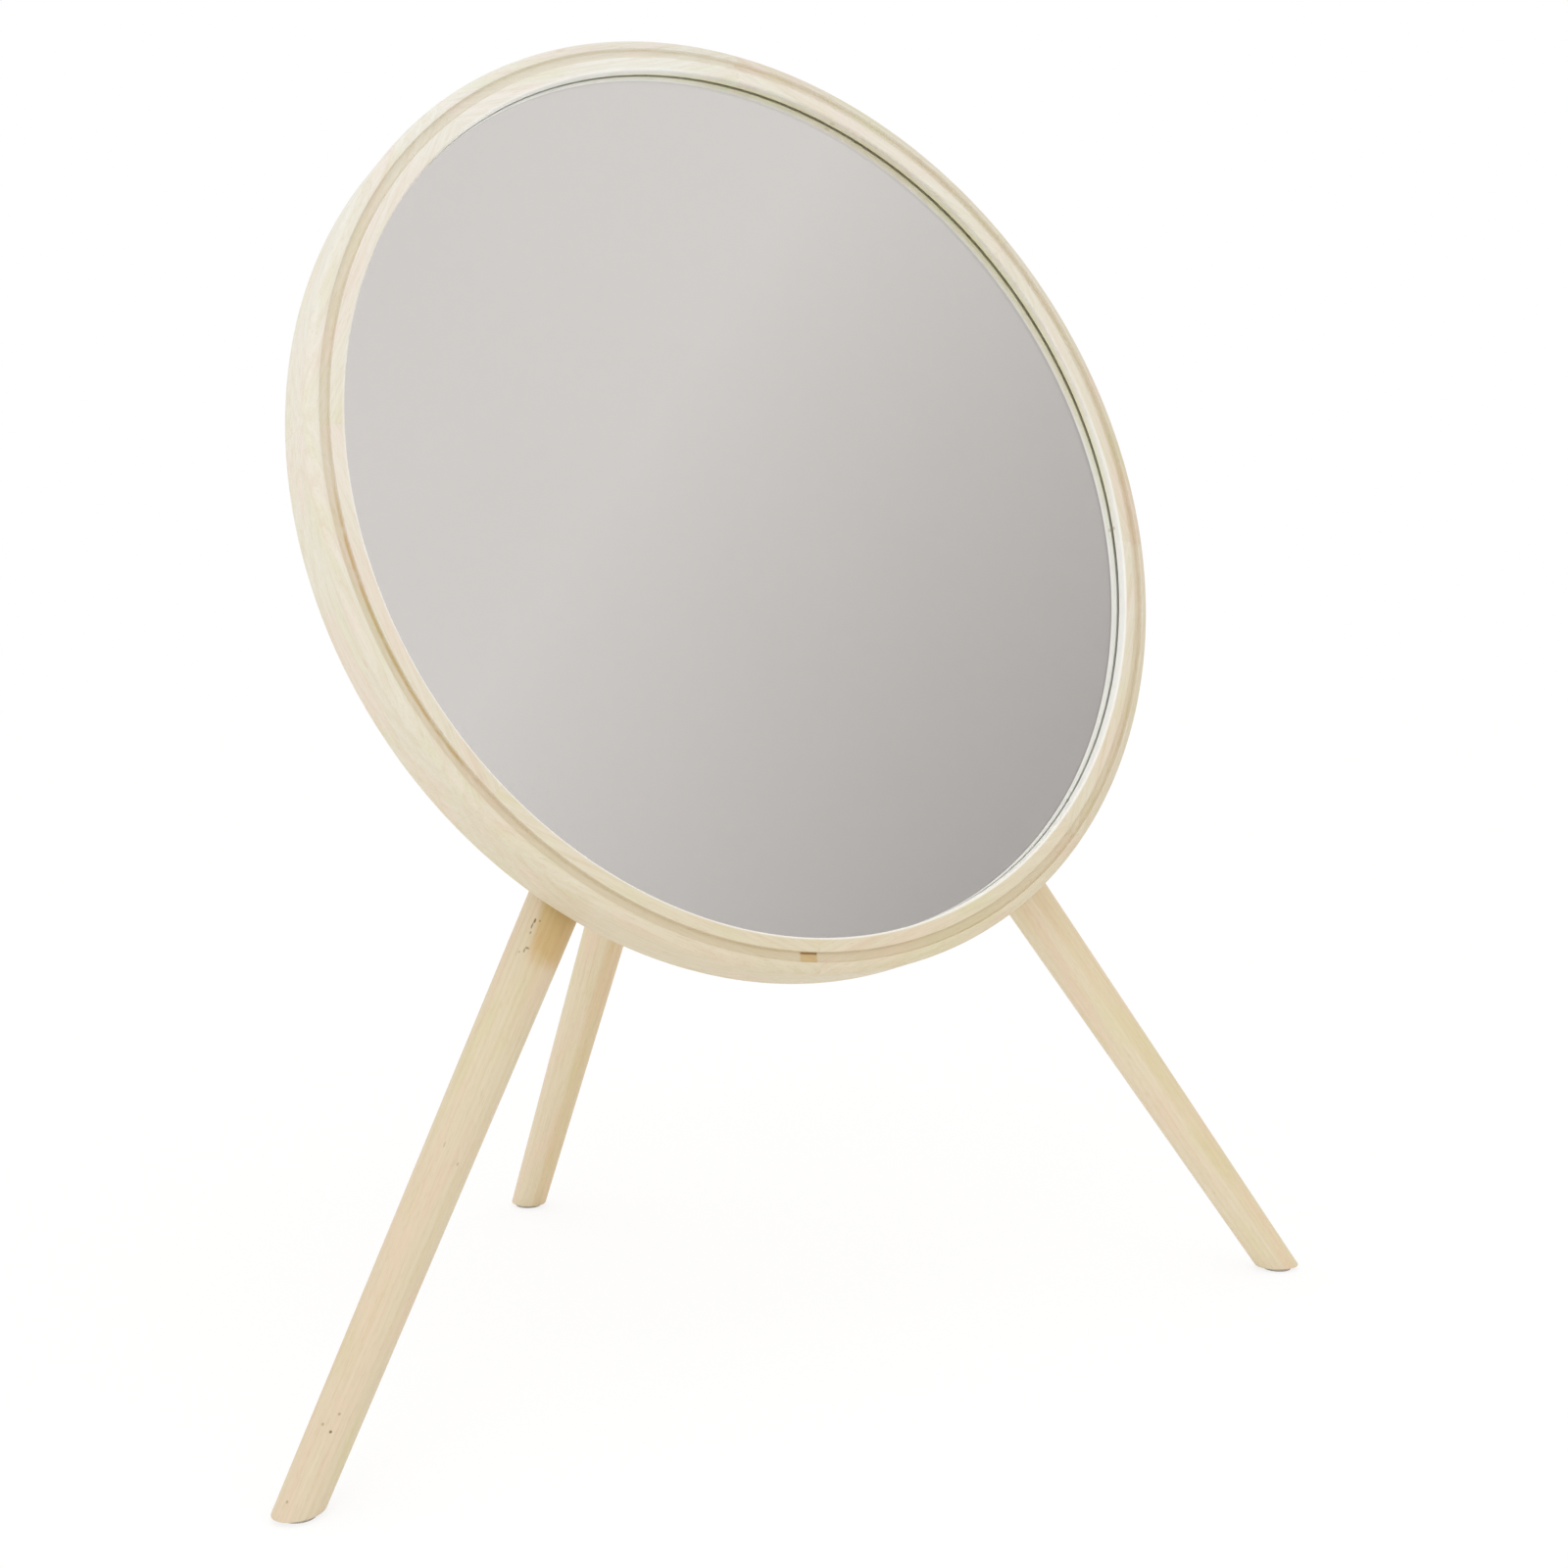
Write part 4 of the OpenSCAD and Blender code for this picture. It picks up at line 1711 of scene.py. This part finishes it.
@dataclass
class Studio:
    """White floor and background, two soft lamps, a grey sky for the mirror, and the camera."""

    head: HeadFrame
    camera_place: Vector = Vector((-1.0058, -1.6464, 0.6307))
    camera_pitch: float = math.radians(-5.332)
    camera_yaw: float = math.radians(34.355)
    focal_mm: float = 50.0
    sensor_mm: float = 36.0
    clip_end: float = 60.0
    floor_half: float = 9.0
    floor_bounce: Colour = (0.93, 0.92, 0.90)
    floor_veil: float = 0.2
    floor_glow: float = 0.805
    sky_radius: float = 5.0
    sky_columns: int = 72
    sky_levels: int = 20
    sky_low: float = -8.0
    sky_rise: float = 96.0
    sky_light: Colour = rgb(203, 197, 195)
    sky_dark: Colour = rgb(153, 147, 145)
    sky_way: Vector = Vector((0.775, -0.051, -0.63))
    sky_fade: tuple[float, float] = (0.245, 1.828)
    room_colour: Colour = (1.0, 0.99, 0.975)
    room_strength: float = 1.0
    mirrored_colour: Colour = (1.0, 1.0, 0.98)
    mirrored_strength: float = 2.3
    lamps: tuple[Lamp, ...] = (
        Lamp("high_lamp", Vector((-0.29, -0.41, 0.87)), 2.8, 3.0, 0.9, (0.95, 0.98, 1.03)),
        Lamp("low_lamp", Vector((-0.85, -0.5, 0.12)), 2.8, 6.5, 1.6, (0.85, 1.0, 1.25)),
    )

    def camera(self) -> None:
        """Sets the camera where the photograph was taken from."""
        data = bpy.data.cameras.new("photo_camera")
        data.lens = self.focal_mm
        data.sensor_width = self.sensor_mm
        data.clip_end = self.clip_end
        camera = bpy.data.objects.new("photo_camera", data)
        camera.location = self.camera_place
        camera.rotation_euler = (math.pi / 2 + self.camera_pitch, 0.0, -self.camera_yaw)
        bpy.context.scene.collection.objects.link(camera)
        bpy.context.scene.camera = camera

    def seen_directly(self, graph: Graph) -> Socket:
        """1 where the eye sees the surface, straight or through glass and mirrors.

        Args:
            graph: nodes of the surface.

        Returns:
            The share.
        """
        camera = graph.node("ShaderNodeLightPath", output="Is Camera Ray")
        glossy = camera.sibling("Is Glossy Ray")
        return camera.maximum(glossy).maximum(camera.sibling("Is Transmission Ray"))

    def world(self) -> None:
        """Lights the scene evenly, and shows white."""
        world = bpy.data.worlds.new("studio")
        world.use_nodes = True
        graph = Graph(world.node_tree)
        light = graph.node("ShaderNodeBackground", None,
                           {"Color": self.room_colour, "Strength": self.room_strength})
        white = graph.node("ShaderNodeBackground", None, {"Color": PLAIN, "Strength": 1.0})
        shown = graph.node("ShaderNodeMixShader", None,
                           {0: self.seen_directly(graph), 1: light, 2: white})
        graph.node("ShaderNodeOutputWorld", None, {"Surface": shown})
        bpy.context.scene.world = world

    def staged(self, name: str, points: Sequence[Vector], faces: Sequence[Face],
               paint: Callable[[Graph], Socket]) -> bpy.types.Object:
        """Makes something that isn't part of the object.

        Args:
            name: its name.
            points: its vertices.
            faces: its faces.
            paint: makes its shader.

        Returns:
            The new object.
        """
        material = bpy.data.materials.new(name)
        material.use_nodes = True
        graph = Graph(material.node_tree)
        graph.node("ShaderNodeOutputMaterial", None, {"Surface": paint(graph)})
        made = new_piece(name, points, faces, [material])
        log.info("%s: staged", name)
        return made

    def floor_paint(self, graph: Graph) -> Socket:
        """White floor that keeps a faint shadow.

        Args:
            graph: nodes of the floor.

        Returns:
            Its shader.
        """
        veil_tone = (self.floor_veil,) * 3
        bounce = graph.node("ShaderNodeBsdfDiffuse", None, {"Color": self.floor_bounce})
        veil = graph.node("ShaderNodeBsdfDiffuse", None, {"Color": veil_tone})
        glow = graph.node("ShaderNodeEmission", None, {"Color": PLAIN, "Strength": self.floor_glow})
        shown = graph.node("ShaderNodeAddShader", None, {0: veil, 1: glow})
        return graph.node("ShaderNodeMixShader", None,
                          {0: self.seen_directly(graph), 1: bounce, 2: shown})

    def floor(self) -> None:
        """Lays the floor."""
        turns = [math.radians(45.0 + 90.0 * corner) for corner in range(4)]
        reach = self.floor_half * math.sqrt(2.0)
        corners = [Vector((math.cos(turn), math.sin(turn), 0.0)) * reach for turn in turns]
        self.staged("studio_floor", corners, [(0, 1, 2, 3)], self.floor_paint)

    def sky_paint(self, graph: Graph) -> Socket:
        """Soft grey that darkens along one way, and the bright room for light that bounces on.

        Args:
            graph: nodes of the sky.

        Returns:
            Its shader.
        """
        offset = graph.point() - self.head.centre
        start, end = self.sky_fade
        fade = graph.node("ShaderNodeMapRange", None,
                          {0: offset.dot(self.sky_way), 1: start, 2: end, 3: 0.0, 4: 1.0})
        tone = graph.mix(fade, self.sky_light, self.sky_dark)
        seen = graph.node("ShaderNodeEmission", None, {"Color": tone})
        bright = graph.node("ShaderNodeEmission", None, {
            "Color": self.mirrored_colour, "Strength": self.mirrored_strength})
        diffuse = graph.node("ShaderNodeLightPath", output="Diffuse Depth")
        glossy = (diffuse.sibling("Glossy Depth") - 1.0).maximum(0.0)
        return graph.node("ShaderNodeMixShader", None,
                          {0: (diffuse + glossy).minimum(1.0), 1: seen, 2: bright})

    def sky(self) -> None:
        """Hangs the grey sky, which only light through the glass meets."""
        columns, levels = self.sky_columns, self.sky_levels
        points = []
        for level in range(levels + 1):
            rise = math.radians(self.sky_low + self.sky_rise * level / levels)
            for column in range(columns):
                turn = math.tau * column / columns
                way = Vector((math.sin(turn), -math.cos(turn), math.tan(rise))).normalized()
                points.append(self.head.centre + way * self.sky_radius)
        faces: list[Face] = []
        for first in range(0, levels * columns, columns):
            faces += strip(first, first + columns, columns)
        sky = self.staged("grey_sky", points, faces, self.sky_paint)
        sky.visible_camera = False
        sky.visible_diffuse = False
        sky.visible_glossy = False
        sky.visible_shadow = False

    def build(self) -> None:
        """Sets up camera, background, floor, sky and lamps."""
        bpy.context.scene.view_settings.view_transform = "Standard"
        self.camera()
        self.world()
        self.floor()
        self.sky()
        for lamp in self.lamps:
            lamp.build(self.head.centre)


def main() -> None:
    """Builds the studio, then the mirror's pieces in order."""
    logging.basicConfig(level=logging.INFO, format="%(message)s")
    head = HeadFrame.of_glass(TurnedRing.glass_inset)
    Studio(head).build()
    TurnedRing(head).build()
    MirrorPane(head).build()
    Back(head).build()
    Stand(head).build()


if __name__ == "__main__":
    main()
